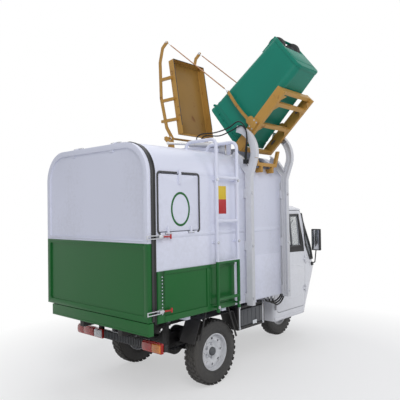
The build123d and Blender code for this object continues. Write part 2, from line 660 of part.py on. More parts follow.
for side in (-1, 1):
    chassis += rod(neck_r, *neck_run(side)) - rod(head_r - 4, on_steer(600), on_steer(950))
chassis += head
tilt_fixed = Part()
tilt_turn = Part()
for side in (-1, 1):
    fixed, turning = hinge((tilt_x, side * rail_y, tilt_z), (0, 1, 0), 105, 17, 9)
    for y0, y1 in ((side * rail_y - 52, side * rail_y - 18), (side * rail_y + 18, side * rail_y + 52)):
        fixed += block(tilt_x - 14, tilt_x + 14, y0, y1, rail_top_z - 20, tilt_z)
    fixed -= block(tilt_x - 30, tilt_x + 30, side * rail_y - rail_w / 2, side * rail_y + rail_w / 2,
                   rail_top_z - 60, rail_top_z)
    tilt_fixed += fixed
    turning += block(tilt_x - 12, tilt_x + 14, side * rail_y - 17, side * rail_y + 17, tilt_z, floor_z) \
        - rod(9 + run_fit, (tilt_x, side * rail_y - 40, tilt_z), (tilt_x, side * rail_y + 40, tilt_z))
    tilt_turn += turning
nodes["chassis_frame"] = chassis + tilt_fixed
nodes["box_floor"] = nodes["box_floor"] + tilt_turn

# rear axle with its motor, on leaf springs
axle = rod(34, (rear_axle_x, -wheel_y + 62, axle_z), (rear_axle_x, wheel_y - 62, axle_z))
axle += rod(stub_r, (rear_axle_x, -wheel_y + 10, axle_z), (rear_axle_x, wheel_y - 10, axle_z))
axle += rod(105, (rear_axle_x, -60, axle_z), (rear_axle_x, 75, axle_z))
axle += rod(88, (rear_axle_x + 120, -150, axle_z + 30), (rear_axle_x + 120, 70, axle_z + 30))
spring_z = axle_z + 34
for side in (-1, 1):
    axle += block(rear_axle_x - 45, rear_axle_x + 45, side * 330 - 30, side * 330 + 30, axle_z - 20,
                  spring_z)
nodes["rear_axle"] = axle
springs = Part()
for side in (-1, 1):
    y0, y1 = side * 330 - 25, side * 330 + 25
    leaves = ((380, 0), (290, 9), (190, 18))
    for reach, drop in leaves:
        springs += block(rear_axle_x - reach, rear_axle_x + reach, y0, y1, spring_z + 18 - drop, spring_z
                         + 27 - drop)
    for x in (rear_axle_x - 380, rear_axle_x + 380):
        springs += block(x - 14, x + 14, y0, y1, spring_z + 18, rail_z0 + 40)
        springs += block(x - 14, x + 14, side * (rail_y + rail_w / 2), side * 330, rail_z0 + 12, rail_z0
                         + 40)
nodes["rear_axle"] += springs

# mudguards: a bent sheet over each rear wheel, with tube edges
guard_y = (398, 560)
# both measured from the rear axle
guard_line = ((-295, 400), (-210, 585), (210, 585), (290, 400))
guard_edge = ((4, -9), (3, -4), (-3, -4), (-4, -9))
stay_line = (((-228, 420), (-156, 640)), ((236, 366), (126, 638)))
guards = Part()
for side in (-1, 1):
    y0, y1 = sorted((side * guard_y[0], side * guard_y[1]))
    outer = side_plate([(rear_axle_x + x, z) for x, z in guard_line], y0, y1)
    under = [(rear_axle_x + x + dx, z + dz) for (x, z), (dx, dz) in zip(guard_line, guard_edge)]
    guards += outer - side_plate(under, y0 - 1, y1 + 1)
    guards += block(rear_axle_x - 15, rear_axle_x + 15, *sorted((side * (rail_y + rail_w / 2),
                                                                 side * guard_y[0])), 560, 585)
stays = Part()
for side in (-1, 1):
    y = side * (guard_y[1] + 6)
    for (xa, za), (xb, zb) in stay_line:
        stays += rod(8, (rear_axle_x + xa, y, za), (rear_axle_x + xb, y, zb))
nodes["mudguards"] = guards + stays

# battery case on the right, hydraulic tank on the left
case_x, case_z, case_y = (box_length - 565, box_length - 160), (392, 600), (370, 540)
cases = block(*case_x, -case_y[1], -case_y[0], *case_z)
cases -= block(case_x[0] + 30, case_x[1] - 20, -case_y[1] - 1, -case_y[1] + 14, case_z[0] + 25, case_z[1]
               - 20)
tank = block(case_x[0] + 35, case_x[1] - 50, case_y[0], case_y[1] - 20, case_z[0] + 30, case_z[1])
for x in (case_x[0] + 185, case_x[1] - 90):
    cases += block(x, x + 36, -case_y[0], -rail_y - rail_w / 2, case_z[1] - 40, case_z[1] - 6)
    tank += block(x, x + 36, rail_y + rail_w / 2, case_y[0], case_z[1] - 40, case_z[1] - 6)
nodes["battery_case"] = cases
cap_x = case_x[0] + 195
tank += rod(55, (cap_x, case_y[1] - 20, 500), (cap_x, case_y[1], 500))
nodes["pump_tank"] = tank

# tail beam with lamps and a ribbed plate
beam_x, beam_z = (252, 284), (392, 468)
tail = block(*beam_x, -545, 545, beam_z[0] + 12, beam_z[1] - 12)
for side in (-1, 1):
    tail += block(*beam_x, side * rail_y - 20, side * rail_y + 20, beam_z[0] + 20, rail_z0)
tail += block(beam_x[0] - 14, beam_x[0], -318, 178, beam_z[0] + 4, beam_z[1])
nodes["tail_beam"] = tail
lamps = Part()
for y0, y1 in ((-535, -330), (186, 290), (298, 535)):
    lamps += block(beam_x[0] - 26, beam_x[0], y0, y1, *beam_z)

# ---- cab ----


def cab_form(inset, rows, top=None):
    faces = []
    for z, nose_run, corner_run, w, nose_w in rows:
        nose, corner = cab_back + nose_run, cab_back + corner_run
        a, b = w - inset, nose_w - inset / 2
        face = make_face(Polyline((cab_back + inset, -a), (corner - inset / 2, -a), (nose - inset, -b),
                                  (nose - inset, b),
                                  (corner - inset / 2, a), (cab_back + inset, a), close=True))
        corners = face.vertices().sort_by(Axis.X)
        face = fillet(corners[:2], cab_back_r - min(inset, 20))
        near = [v for v in face.vertices() if abs(v.X - (corner - inset / 2)) < 1]
        face = fillet(near, cab_corner_r)
        tips = [v for v in face.vertices() if abs(v.X - (nose - inset)) < 1]
        face = fillet(tips, nose_corner_r)
        faces.append(Pos(0, 0, z) * face)
    return loft(faces, ruled=True)


cab_z = (cab_rows[0][0], cab_rows[-1][0])
stretched = ((cab_z[0] - 1,) + cab_rows[0][1:],) + cab_rows[1:-1] + ((cab_z[1] + 1,) + cab_rows[-1][1:],)
cab_outer = cab_form(0, cab_rows)
cab_inner = cab_form(cab_wall, stretched)
glass_outer, glass_inner = cab_form(8, cab_rows), cab_form(14, stretched)
cab = cab_outer - cab_inner

sill = 1075
side_window = from_cab([(105, sill), (505, sill), (505, 1400), (105, 1400)])
quarter_window = from_cab([(607, 1080), (680, 925), (729, 925), (717, 1080), (683, 1240), (631, 1400),
                           (607, 1400)])
screen_cut = from_cab([(1205, 1015), (815, 1015), (605, 1425), (1205, 1425)])
door_band = [(door_x[0], door_z[0]), (door_x[1], door_z[0]), (door_x[1], door_z[1]), (door_x[0], door_z[1])]
inner_side = 380


def side_pair(points, r=0):
    return side_plate(points, -700, -inner_side, r), side_plate(points, inner_side, 700, r)


def grown(points, g):
    xs, zs = [p[0] for p in points], [p[1] for p in points]
    cx, cz = (min(xs) + max(xs)) / 2, (min(zs) + max(zs)) / 2
    return [(x + math.copysign(g, x - cx), z + math.copysign(g, z - cz)) for x, z in points]


doors, door_glass, cab_glass = {}, {}, Part()
glass_skin = glass_outer - glass_inner
for key, cut, body_cut, glass_cut in zip(("right", "left"), side_pair(door_band, 40),
                                         side_pair(grown(door_band, door_gap), 46),
                                         side_pair(side_window, 30)):
    doors[key] = (cab & cut) - glass_cut
    door_glass[key] = glass_skin & glass_cut
for cut in side_pair(grown(door_band, door_gap), 46):
    cab -= cut
for cut in side_pair(quarter_window, 8):
    cab -= cut
    cab_glass += glass_skin & cut
screen_block = side_plate(screen_cut, -400, 400)
cab -= screen_block
cab_glass += glass_skin & screen_block
arch_half = 250
cab -= cross_plate([(-arch_half, 300), (arch_half, 300), (arch_half, 592), (-arch_half, 592)],
                   cab_back + 555, cab_back + 1205)
for side in (-1, 1):
    low_rail_y = sorted((side * (rail_y - rail_w / 2 - 2), side * (rail_y + rail_w / 2 + 2)))
    cab -= block(cab_back - 5, cab_back + cab_wall + 5, *low_rail_y, cab_z[0] - 5, low_rail_top_z + 2)
rear_light = block(cab_back - 5, cab_back + cab_wall + 5, -330, 330, 1120, 1400)
cab -= rear_light
cab_glass += (glass_skin & rear_light)
nodes["cab_glass"] = cab_glass

# wheel well and floor
floor_front = neck_x
cab_floor_z = low_rail_top_z
cab_floor = block(cab_back + cab_wall, floor_front, -520, 520, cab_floor_z, cab_floor_z + 14)
well_z = 690
cab_floor += block(floor_front, floor_front + 14, -520, 520, cab_floor_z, well_z)
cab_floor += block(floor_front, cab_back + 1085, -520, 520, well_z - 14, well_z)
seat_x = cab_back + 55
cab_floor += block(seat_x, seat_x + 330, -240, 240, cab_floor_z, seat_z)
cab_floor &= cab_inner
cab_floor -= rod(head_r + 8, on_steer(560), on_steer(760))
for side in (-1, 1):
    cab_floor -= rod(neck_r + 5, *neck_run(side))
nodes["cab_floor"] = cab_floor

hinge_fixed = {}
for key, side in (("right", -1), ("left", 1)):
    door_part = doors[key]
    for z in (620, 930):
        y = side * (532 + 9)
        fixed, turning = hinge((door_x[1] + 3, y, z), (0, 0, 1), 60, 8, 3.5)
        fixed += block(door_x[1] + door_gap + 2, door_x[1] + 40, min(y, side * 520), max(y, side * 520),
                       z - 30, z - 11)
        fixed += block(door_x[1] + door_gap + 2, door_x[1] + 40, min(y, side * 520), max(y, side * 520),
                       z + 11, z + 30)
        turning += block(door_x[1] - 36, door_x[1] - 2, min(y, side * 520), max(y, side * 520), z - 9, z
                         + 9) \
            - rod(3.5 + run_fit, (door_x[1] + 3, y, z - 20), (door_x[1] + 3, y, z + 20))
        cab += fixed
        door_part += turning
    nodes[f"cab_door_{key}"] = door_part
    nodes[f"door_glass_{key}"] = door_glass[key]
nodes["cab_shell"] = cab
roof_rows = (cab_rows[-1], roof_row)
nodes["cab_roof"] = cab_form(0, roof_rows)

# inside the cab
cushion = block(seat_x, seat_x + 340, -230, 230, seat_z, seat_z + 90)
cushion += side_plate([(seat_x, seat_z + 90), (seat_x + 100, seat_z + 90), (seat_x + 72, seat_z + 520),
                       (seat_x, seat_z + 520)], -220, 220)
nodes["driver_seat"] = cushion
dash = side_plate(from_cab([(815, 720), (1055, 720), (1055, 985), (775, 985), (735, 930)]), -470,
                  470) & cab_inner
nodes["dashboard"] = dash - rod(60, on_steer(600), on_steer(1100))

# head lamps and mirrors
for side in (-1, 1):
    lamps += rod(58, (cab_back + 1045, side * 255, 790), (cab_back + 1147, side * 255, 790)) - cab_outer
nodes["lamps"] = lamps
mirrors = Part()
mirror_x = cab_back + 695
mirror_arm = ((mirror_x + 30, 500, 862), (mirror_x + 12, 580, 884), (mirror_x, 606, 1040))
for side in (-1, 1):
    (x0, y0, z0), (x1, y1, z1), (x2, y2, z2) = mirror_arm
    mirrors += (rod(6, (x0, side * y0, z0), (x1, side * y1, z1)) + rod(6, (x1, side * y1, z1),
                                                                       (x2, side * y2, z2))) - cab_outer
    mirrors += rod(20, (x0, side * 520, z0 - 2), (x0, side * 541, z0 + 4)) - cab_outer
    mirrors += block(mirror_x - 14, mirror_x + 10, side * y2 - 47, side * y2 + 47, 1016, 1236)
nodes["mirrors"] = mirrors

# ---- steering ----
crown_z = 622
leg_y = tyre_w / 2 + 30
fork = rod(stem_r, on_steer(crown_z), on_steer(905))
fork += Pos(*on_steer(crown_z)) * Rot(0, -math.degrees(rake), 0) * Box(60, 2 * leg_y + 44, 26)
guard_r = tyre_r + 24
mud = revolve(make_face(Polyline((guard_r, -72), (guard_r, 72), (guard_r + 4, 72), (guard_r + 4, -72),
                                 close=True)), axis=Axis.Y)
mud &= side_plate([(-330, 70), (-330, 400), (330, 400), (330, 170), (60, 0), (-60, 0)], -80, 80)
fork += Pos(front_axle_x, 0, axle_z) * mud
for side in (-1, 1):
    top, foot = on_steer(crown_z), (front_axle_x, 0, axle_z)
    fork += rod(18, (top[0], side * leg_y, top[2]), (foot[0], side * leg_y, foot[2]))
    fork += rod(22, (foot[0], side * (leg_y - 14), foot[2]), (foot[0], side * (leg_y + 14), foot[2]))
fork += rod(10, (front_axle_x, -leg_y - 20, axle_z), (front_axle_x, leg_y + 20, axle_z))
grip_z = 985
fork += rod(12, on_steer(900), on_steer(grip_z))
bar_mid = on_steer(grip_z)
for side in (-1, 1):
    fork += rod(12, bar_mid, (bar_mid[0] - 60, side * 180, grip_z + 25)) + rod(14, (bar_mid[0] - 60,
                                                                                    side * 180, grip_z
                                                                                    + 25),
                                                                        (bar_mid[0] - 150, side * 300,
                                                                         grip_z + 15))
nodes["steering_fork"] = fork

# ---- control valve and hoses on the box ----
valve_y = (-half + 10, -half + 80)
valve = block(box_length, box_length + 12, valve_y[0], valve_y[1] + 30, 740, 960)
valve += block(box_length + 12, box_length + 72, *valve_y, 790, 930)
for dx in (28, 56):
    valve += rod(6, (box_length + dx, valve_y[0] + 30, 930), (box_length + dx, valve_y[0] + 22, 1010))
    valve += rod(13, (box_length + dx, valve_y[0] + 22, 1000), (box_length + dx, valve_y[0] + 19, 1035))
nodes["control_valve"] = valve
hoses = Part()
hose_r = 8
for i, y in enumerate((valve_y[0] + 14, valve_y[0] + 36, valve_y[0] + 58)):
    x, low = box_length + 30 + 7 * i, 560 + 12 * i
    rise_x = case_x[1] + 10 - 25 * i
    hoses += tube([(x, y, 790), (x, y, low), (rise_x, y, low), (rise_x, y, floor_z)], hose_r, 40)
for i, x in enumerate((guide_near[0] - 10, guide_near[0] - 28)):
    start = on_ram(0.35 + 0.1 * i)
    hoses += tube([(start[0], start[1], start[2] + 28), (start[0], start[1], start[2] + 96),
                   (x, from_side(10), 2150 + 12 * i),
                   (x, from_side(-45), 2020), (x, from_side(-45), 1890)], 7, 32)
    hoses += block(x - 9, x + 10 if i == 0 else x + 9, from_side(-62), from_side(-30), 1850, 1890)
nodes["hoses"] = hoses

# ---- bed cylinder ----
ram_low, ram_high = (lift_x - 175, 0, 470), (lift_x - 705, 0, 585)
ram_length = math.dist(ram_low, ram_high)


def on_bed_ram(k):
    return tuple(a + (b - a) * k for a, b in zip(ram_low, ram_high))


bed_barrel = rod(36, on_bed_ram(0.04), on_bed_ram(0.72)) - rod(20.5, on_bed_ram(0.1), on_bed_ram(0.8))
bed_barrel += rod(24, (ram_low[0], -24, ram_low[2]), (ram_low[0], 24, ram_low[2])) - rod(12 + run_fit,
                                                                                         (ram_low[0], -40,
                                                                                          ram_low[2]),
                                                                                         (ram_low[0], 40,
                                                                                          ram_low[2]))
nodes["bed_ram_barrel"] = bed_barrel
nodes["bed_ram_rod"] = rod(20, on_bed_ram(0.2), on_bed_ram(0.98)) + rod(24, (ram_high[0], -22,
                                                                             ram_high[2]),
                                                                        (ram_high[0], 22, ram_high[2])) \
    + rod(12, (ram_high[0], -27, ram_high[2]), (ram_high[0], 27, ram_high[2]))
ram_seat = Part()
for side in (-1, 1):
    ram_seat += block(ram_low[0] - 24, ram_low[0] + 95, *sorted((side * 40, side * 52)), ram_low[2] - 26,
                      rail_z0 + 30)
    nodes["box_floor"] += block(ram_high[0] - 26, ram_high[0] + 26, *sorted((side * 32, side * 42)),
                                ram_high[2] - 24, floor_z)
ram_seat += rod(12, (ram_low[0], -52, ram_low[2]), (ram_low[0], 52, ram_low[2]))
nodes["chassis_frame"] += ram_seat


# ---- the row's origin: bottom centre of the whole part ----
boxes = [part.bounding_box() for part in nodes.values()]
x_mid = (min(b.min.X for b in boxes) + max(b.max.X for b in boxes)) / 2
y_mid = (min(b.min.Y for b in boxes) + max(b.max.Y for b in boxes)) / 2
z_low = min(b.min.Z for b in boxes)

os.makedirs("parts", exist_ok=True)
for name, part in nodes.items():
    export_step(Pos(-x_mid, -y_mid, -z_low) * part, f"parts/{name}.step")
print(len(nodes), "nodes, moved by", round(-x_mid, 3), round(-y_mid, 3), round(-z_low, 3))
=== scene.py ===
import bpy, bmesh, math
from mathutils import Matrix, Vector


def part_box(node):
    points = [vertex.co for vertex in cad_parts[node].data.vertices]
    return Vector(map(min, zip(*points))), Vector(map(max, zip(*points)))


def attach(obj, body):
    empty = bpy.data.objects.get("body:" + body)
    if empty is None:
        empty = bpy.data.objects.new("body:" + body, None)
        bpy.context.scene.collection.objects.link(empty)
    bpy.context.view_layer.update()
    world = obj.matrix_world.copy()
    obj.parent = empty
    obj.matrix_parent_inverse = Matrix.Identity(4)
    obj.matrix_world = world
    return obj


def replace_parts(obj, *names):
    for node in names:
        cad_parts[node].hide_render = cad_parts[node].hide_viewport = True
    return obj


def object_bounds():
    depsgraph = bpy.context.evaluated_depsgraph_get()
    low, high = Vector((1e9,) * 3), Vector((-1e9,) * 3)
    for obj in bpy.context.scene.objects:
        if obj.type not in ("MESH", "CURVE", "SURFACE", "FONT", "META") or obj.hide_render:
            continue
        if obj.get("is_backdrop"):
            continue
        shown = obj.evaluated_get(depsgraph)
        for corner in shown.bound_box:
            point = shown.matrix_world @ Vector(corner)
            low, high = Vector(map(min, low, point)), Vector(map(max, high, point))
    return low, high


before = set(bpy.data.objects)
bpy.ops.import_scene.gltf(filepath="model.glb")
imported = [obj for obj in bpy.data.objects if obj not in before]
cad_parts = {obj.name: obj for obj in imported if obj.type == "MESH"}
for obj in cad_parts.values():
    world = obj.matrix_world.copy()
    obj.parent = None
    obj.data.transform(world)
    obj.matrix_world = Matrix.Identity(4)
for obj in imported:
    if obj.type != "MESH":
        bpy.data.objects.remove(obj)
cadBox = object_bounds()
half = 655  # half of the box's width, mm
boxRear = 60  # where the box's shell starts, mm
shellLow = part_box("box_shell")[0]
shift = Vector((shellLow.x - boxRear / 1000, shellLow.y + half / 1000, 0.0))  # drawing to frame
bothSides = ((-1, "right"), (1, "left"))


def at(x, y, z):  # a point of the truck drawing, mm
    return Vector((x / 1000, y / 1000, z / 1000)) + shift


def turns(count):  # the angles of a full turn in equal steps
    return [2 * math.pi * k / count for k in range(count)]


def rect(x0, x1, y0, y1):
    return [(x0, y0), (x1, y0), (x1, y1), (x0, y1)]


def linked(name, data):  # a new object that holds a mesh, a lamp or a camera
    thing = bpy.data.objects.new(name, data)
    bpy.context.scene.collection.objects.link(thing)
    return thing


# node trees, whose values take part in sums
class Term:  # one output of a node
    def __init__(self, graph, socket):
        self.graph, self.socket = graph, socket

    def join(self, operation, first, second, clamp=False):
        return self.graph.node("ShaderNodeMath", {0: first, 1: second}, operation=operation, use_clamp=clamp)

    def __add__(self, other):
        return self.join("ADD", self, other)

    def __radd__(self, other):
        return self.join("ADD", other, self)

    def __sub__(self, other):
        return self.join("SUBTRACT", self, other)

    def __rsub__(self, other):
        return self.join("SUBTRACT", other, self)

    def __mul__(self, other):
        return self.join("MULTIPLY", self, other)

    def __rmul__(self, other):
        return self.join("MULTIPLY", other, self)

    def __truediv__(self, other):
        return self.join("DIVIDE", self, other)

    def __rtruediv__(self, other):
        return self.join("DIVIDE", other, self)

    def offset(self, amount):  # a sum that stays between 0 and 1
        return self.join("ADD", self, amount, True)

    def over(self, limit, blur):  # 1 from the limit on, 0 a blur's width before it
        return ((self - limit) * (1 / blur)).offset(1)

    def under(self, limit, blur):
        return 1 - self.over(limit, blur)

    def most(self, other):
        return self.join("MAXIMUM", self, other)


class Graph:  # a node tree under construction
    def __init__(self, tree):
        self.tree = tree
        tree.nodes.clear()

    def node(self, kind, sockets=None, out=0, **settings):
        n = self.tree.nodes.new(kind)
        for key, value in settings.items():
            setattr(n, key, value)
        for key, value in (sockets or {}).items():
            self.feed(n.inputs[key], value)
        return Term(self, n.outputs[out]) if n.outputs else None

    def feed(self, socket, value):
        if isinstance(value, Term):
            self.tree.links.new(value.socket, socket)
        else:
            socket.default_value = value

    def seen(self):  # 1 where a ray comes from the camera, from metal or through glass
        camera, glossy, through = (self.node("ShaderNodeLightPath", out=i) for i in (0, 3, 6))
        return camera.most(glossy).most(through)


class Paint(Graph):  # a material
    def __init__(self, name, colour, roughness, metallic=0.0, **fixed):
        self.material = bpy.data.materials.new(name)
        self.material.use_nodes = True
        super().__init__(self.material.node_tree)
        self.shader = self.tree.nodes.new("ShaderNodeBsdfPrincipled")
        self.output = self.tree.nodes.new("ShaderNodeOutputMaterial").inputs[0]
        self.tree.links.new(self.shader.outputs[0], self.output)
        self.give("Base Color", (*colour, 1))
        self.give("Roughness", roughness)
        self.give("Metallic", metallic)
        for socketName, value in fixed.items():
            self.give(socketName.replace("_", " "), value)
        self.material.diffuse_color = (*colour, 1)

    def give(self, socketName, value):
        self.feed(self.shader.inputs[socketName], value)

    def place(self, stretch=None):
        spot = self.node("ShaderNodeTexCoord", out=3)
        return spot if stretch is None else self.node("ShaderNodeMapping", {0: spot, 3: stretch})

    def along(self, axis):
        return self.node("ShaderNodeSeparateXYZ", {0: self.place()}, axis)

    def cloud(self, scale, detail=3, stretch=None):
        sockets = {"Vector": self.place(stretch), "Scale": scale, "Detail": detail, "Roughness": 0.55}
        return self.node("ShaderNodeTexNoise", sockets)

    def blend(self, factor, low, high):
        return self.node("ShaderNodeMix", {0: factor, 6: low, 7: high}, 2, data_type="RGBA")

    def drift(self, mask, colour, low, high):  # a colour between two shades of itself
        return self.blend(mask, shade(colour, low), shade(colour, high))

    def bump(self, height, strength, distance):
        sockets = {"Strength": strength, "Distance": distance, "Height": height}
        self.give("Normal", self.node("ShaderNodeBump", sockets))


def shade(colour, k=1.0):
    return (colour[0] * k, colour[1] * k, colour[2] * k, 1)


finish = {
    "white": (0.72, 0.74, 0.86), "green": (0.005, 0.112, 0.020), "yellow": (0.50, 0.275, 0.065),
    "cabWhite": (0.80, 0.81, 0.86), "binGreen": (0.003, 0.190, 0.130), "black": (0.018, 0.018, 0.02),
    "rubber": (0.012, 0.012, 0.013), "wornRubber": (0.03, 0.03, 0.031), "steel": (0.52, 0.53, 0.56),
    "red": (0.45, 0.02, 0.02), "dirt": (0.20, 0.18, 0.15), "rust": (0.22, 0.09, 0.035),
    "paintShine": 0.25, "plasticShine": 0.3,  # how much flat surfaces mirror
}
paintLine = {
    "side": 1.03, "ladder": 1.05, "door": 1.232,  # heights up to which the paint is green, m
    "bandEnd": 962, "sealEnd": 82, "gripFrom": 140,  # along the truck, mm
}


def dusty(paint, clean, amount, rough, foot=0.25, reach=1.2):
    patches = paint.cloud(2.3, 5, (1, 1, 0.45))
    fine = paint.cloud(38, 4)
    low = (reach - paint.along(2)) / (reach - foot)  # more dust near the road
    soil = ((patches - 0.42) * 1.6 + (fine - 0.5) * 0.8 + low * 0.35).offset(0) * amount
    paint.give("Base Color", paint.blend(soil, clean, shade(finish["dirt"])))
    paint.give("Roughness", paint.node("ShaderNodeMapRange", {0: soil, 3: rough[0], 4: rough[1]}))


def enamel(name, colour, rough, wave=0.25, amount=0.3, coat=0.075, edge=None, trim=None):
    shine = finish["paintShine"]
    paint = Paint(name, colour, rough, Coat_Weight=coat, Coat_Roughness=0.12, Specular_IOR_Level=shine)
    tone = paint.cloud(1.1, 2)
    clean = paint.drift(tone, colour, 0.93, 1.06)
    if edge:  # a second colour, painted where edge says
        other, mask = edge
        band = mask(paint)
        clean = paint.blend(band, clean, paint.drift(tone, other, 0.9, 1.1))
        amount = amount - band * 0.9 * amount  # the darker colour is kept cleaner
    if trim:  # a narrow strip in a third colour
        clean = paint.blend(trim[1](paint), clean, shade(trim[0]))
    dusty(paint, clean, amount, (rough, rough + 0.25))
    sheet = paint.cloud(3.4, 2, (1, 1, 0.6))  # slow waves of pressed sheet
    peel = paint.cloud(420, 2)
    paint.bump(sheet * wave + peel * 0.012, 0.35, 0.004)
    return paint.material


def belowLine(name):  # all that lies under one of the paint lines
    def mask(paint):
        return paint.along(2).under(paintLine[name], 0.003)
    return mask


def greenBand(paint):  # side band that ends at the ladder
    return belowLine("side")(paint) * paint.along(0).under(at(paintLine["bandEnd"], 0, 0).x, 0.003)


def sealStrip(paint):  # the black edge towards the rear door
    return paint.along(0).under(at(paintLine["sealEnd"], 0, 0).x, 0.002)


def frontHalf(paint):
    return paint.along(0).over(0.0, 0.003)


def scratched(name, colour):
    shine = finish["paintShine"]
    paint = Paint(name, colour, 0.42, Coat_Weight=0.07, Coat_Roughness=0.2, Specular_IOR_Level=shine)
    chips = (paint.cloud(14, 8) - 0.61).offset(0) * 9
    base = paint.drift(paint.cloud(1.7, 3), colour, 0.86, 1.12)
    grime = (paint.cloud(4, 5) - 0.52).offset(0) * 1.4
    base = paint.blend(grime, base, shade(colour, 0.55))
    paint.give("Base Color", paint.blend(chips, base, shade(finish["rust"])))
    paint.give("Roughness", chips * 0.35 + 0.42)
    paint.bump(paint.cloud(160, 3) * 0.05 - chips * 0.25, 0.4, 0.0015)
    return paint.material


def moulded(name, colour, rough=0.5, grain=260, depth=0.12, amount=0.25):
    paint = Paint(name, colour, rough, Specular_IOR_Level=finish["plasticShine"])
    clean = paint.drift(paint.cloud(2.0, 4), colour, 0.85, 1.15)
    dusty(paint, clean, amount, (rough - 0.06, rough + 0.2))
    scuff = paint.cloud(30, 6, (1, 6, 1))
    paint.bump(paint.cloud(grain, 3) * depth + scuff * 0.08, 0.4, 0.001)
    return paint.material


def bareSteel(name, colour, rough=0.32, rust=0.3):
    paint = Paint(name, colour, rough, 1.0)
    spots = (paint.cloud(22, 7) - 0.58).offset(0) * 6 * rust
    clean = paint.drift(paint.cloud(6, 3), colour, 0.85, 1.1)
    paint.give("Base Color", paint.blend(spots, clean, shade(finish["rust"])))
    paint.give("Metallic", 1 - spots * 0.8)
    paint.give("Roughness", spots * 0.4 + paint.cloud(60, 3, (1, 1, 8)) * 0.2 + rough - 0.1)
    paint.bump(paint.cloud(320, 2, (1, 1, 6)) * 0.05 + spots * 0.2, 0.3, 0.0006)
    return paint.material


def clampFinish():  # steel with a red grip
    paint = Paint("clampSteel", finish["steel"], 0.35, 1.0)
    grip = paint.along(0).over(at(paintLine["gripFrom"], 0, 0).x, 0.002)
    tone = paint.drift(paint.cloud(6, 3), finish["steel"], 0.85, 1.1)
    paint.give("Base Color", paint.blend(grip, tone, shade(finish["red"])))
    paint.give("Metallic", 1 - grip)
    paint.give("Roughness", paint.cloud(60, 3) * 0.2 + grip * 0.1 + 0.22)
    return paint.material


def roadRubber(name, rough=0.72, amount=0.32):
    paint = Paint(name, finish["rubber"], rough)
    worn = paint.blend(paint.cloud(5, 3), shade(finish["rubber"]), shade(finish["wornRubber"]))
    dusty(paint, worn, amount, (rough - 0.12, rough + 0.14), foot=0.0, reach=0.9)
    paint.bump(paint.cloud(240, 4) * 0.15, 0.4, 0.001)
    return paint.material


def windowGlass():
    coat = {"Coat_Weight": 0.4, "Coat_Roughness": 0.03}
    paint = Paint("windowGlass", (0.55, 0.62, 0.64), 0.03, Alpha=0.42, IOR=1.5, **coat)
    film = (paint.cloud(3, 5, (1, 1, 0.5)) - 0.4).offset(0)
    paint.give("Base Color", paint.blend(film, (0.34, 0.40, 0.42, 1), (0.60, 0.64, 0.66, 1)))
    paint.give("Alpha", film * 0.25 + 0.22)
    paint.give("Roughness", film * 0.12 + 0.03)
    return paint.material


def lampLens(name, colour):
    paint = Paint(name, colour, 0.18, Coat_Weight=0.6, Coat_Roughness=0.05, Transmission_Weight=0.25)
    sockets = {"Vector": paint.place(), "Scale": 55.0}
    flutes = paint.node("ShaderNodeTexWave", sockets, bands_direction="Y")
    paint.give("Base Color", paint.drift(flutes, colour, 0.75, 1.25))
    paint.bump(flutes * 0.5, 0.5, 0.001)
    return paint.material


materials = {
    "white": enamel("boxWhite", finish["white"], 0.36, 0.5),
    "boxPaint": enamel("boxTwoTone", finish["white"], 0.36, 0.5, edge=(finish["green"], greenBand),
                       trim=(finish["rubber"], sealStrip)),
    "doorPaint": enamel("doorTwoTone", finish["white"], 0.36, 0.6, edge=(finish["green"], belowLine("door"))),
    "ladderPaint": enamel("ladderTwoTone", finish["white"], 0.4, 0.1,
                          edge=(finish["green"], belowLine("ladder"))),
    "railPaint": enamel("railGrey", (0.66, 0.67, 0.71), 0.36, 0.1),
    "rimPaint": enamel("rimWhite", (0.72, 0.73, 0.76), 0.38, 0.0, amount=0.5),
    "green": enamel("skirtGreen", finish["green"], 0.4, 0.3, amount=0.1),
    "cab": enamel("cabWhite", finish["cabWhite"], 0.26, amount=0.22, coat=0.3),
    "yellow": scratched("ochrePaint", finish["yellow"]),
    # ochre at 0.62 of its brightness: painted shade for the lid's shaded inner face
    "lidPaintedShade": scratched("ochreShade", shade(finish["yellow"], 0.62)[:3]),
    "rodPaint": scratched("rodOchre", (0.50, 0.25, 0.12)),
    "plateYellow": enamel("plateYellow", (0.70, 0.50, 0.03), 0.4, 0, amount=0.2),
    "hose": moulded("hoseRubber", (0.010, 0.010, 0.011), 0.42, 300, 0.1, 0.06),
    "bin": moulded("binPlastic", finish["binGreen"], 0.5, 180, 0.1, 0.07),
    "darkPlastic": moulded("darkPlastic", finish["black"], 0.55, amount=0.14),
    "greyPlastic": moulded("greyPlastic", (0.10, 0.105, 0.115), 0.6, amount=0.2),
    "black": enamel("chassisBlack", finish["black"], 0.5, 0.05, amount=0.16, coat=0.025),
    "rubber": roadRubber("sealRubber", 0.55, 0.03),
    "tyre": roadRubber("tyreRubber"),
    "steel": bareSteel("zincSteel", finish["steel"]),
    "clamp": clampFinish(),
    "chrome": bareSteel("rodChrome", (0.70, 0.71, 0.73), 0.12, 0.05),
    "glass": windowGlass(),
    "redLens": lampLens("redLens", (0.50, 0.02, 0.015)),
    "amberLens": lampLens("amberLens", (0.75, 0.24, 0.02)),
    "clearLens": lampLens("clearLens", (0.72, 0.75, 0.78)),
    "lampBody": enamel("lampBody", (0.42, 0.015, 0.012), 0.22, 0, amount=0.05, coat=0.25,
                       edge=((0.04, 0.04, 0.045), frontHalf)),
    "redPaint": enamel("handleRed", finish["red"], 0.4, 0.0, amount=0.25),
    "seat": moulded("seatVinyl", (0.025, 0.025, 0.028), 0.5, 900, 0.25, 0.1),
}


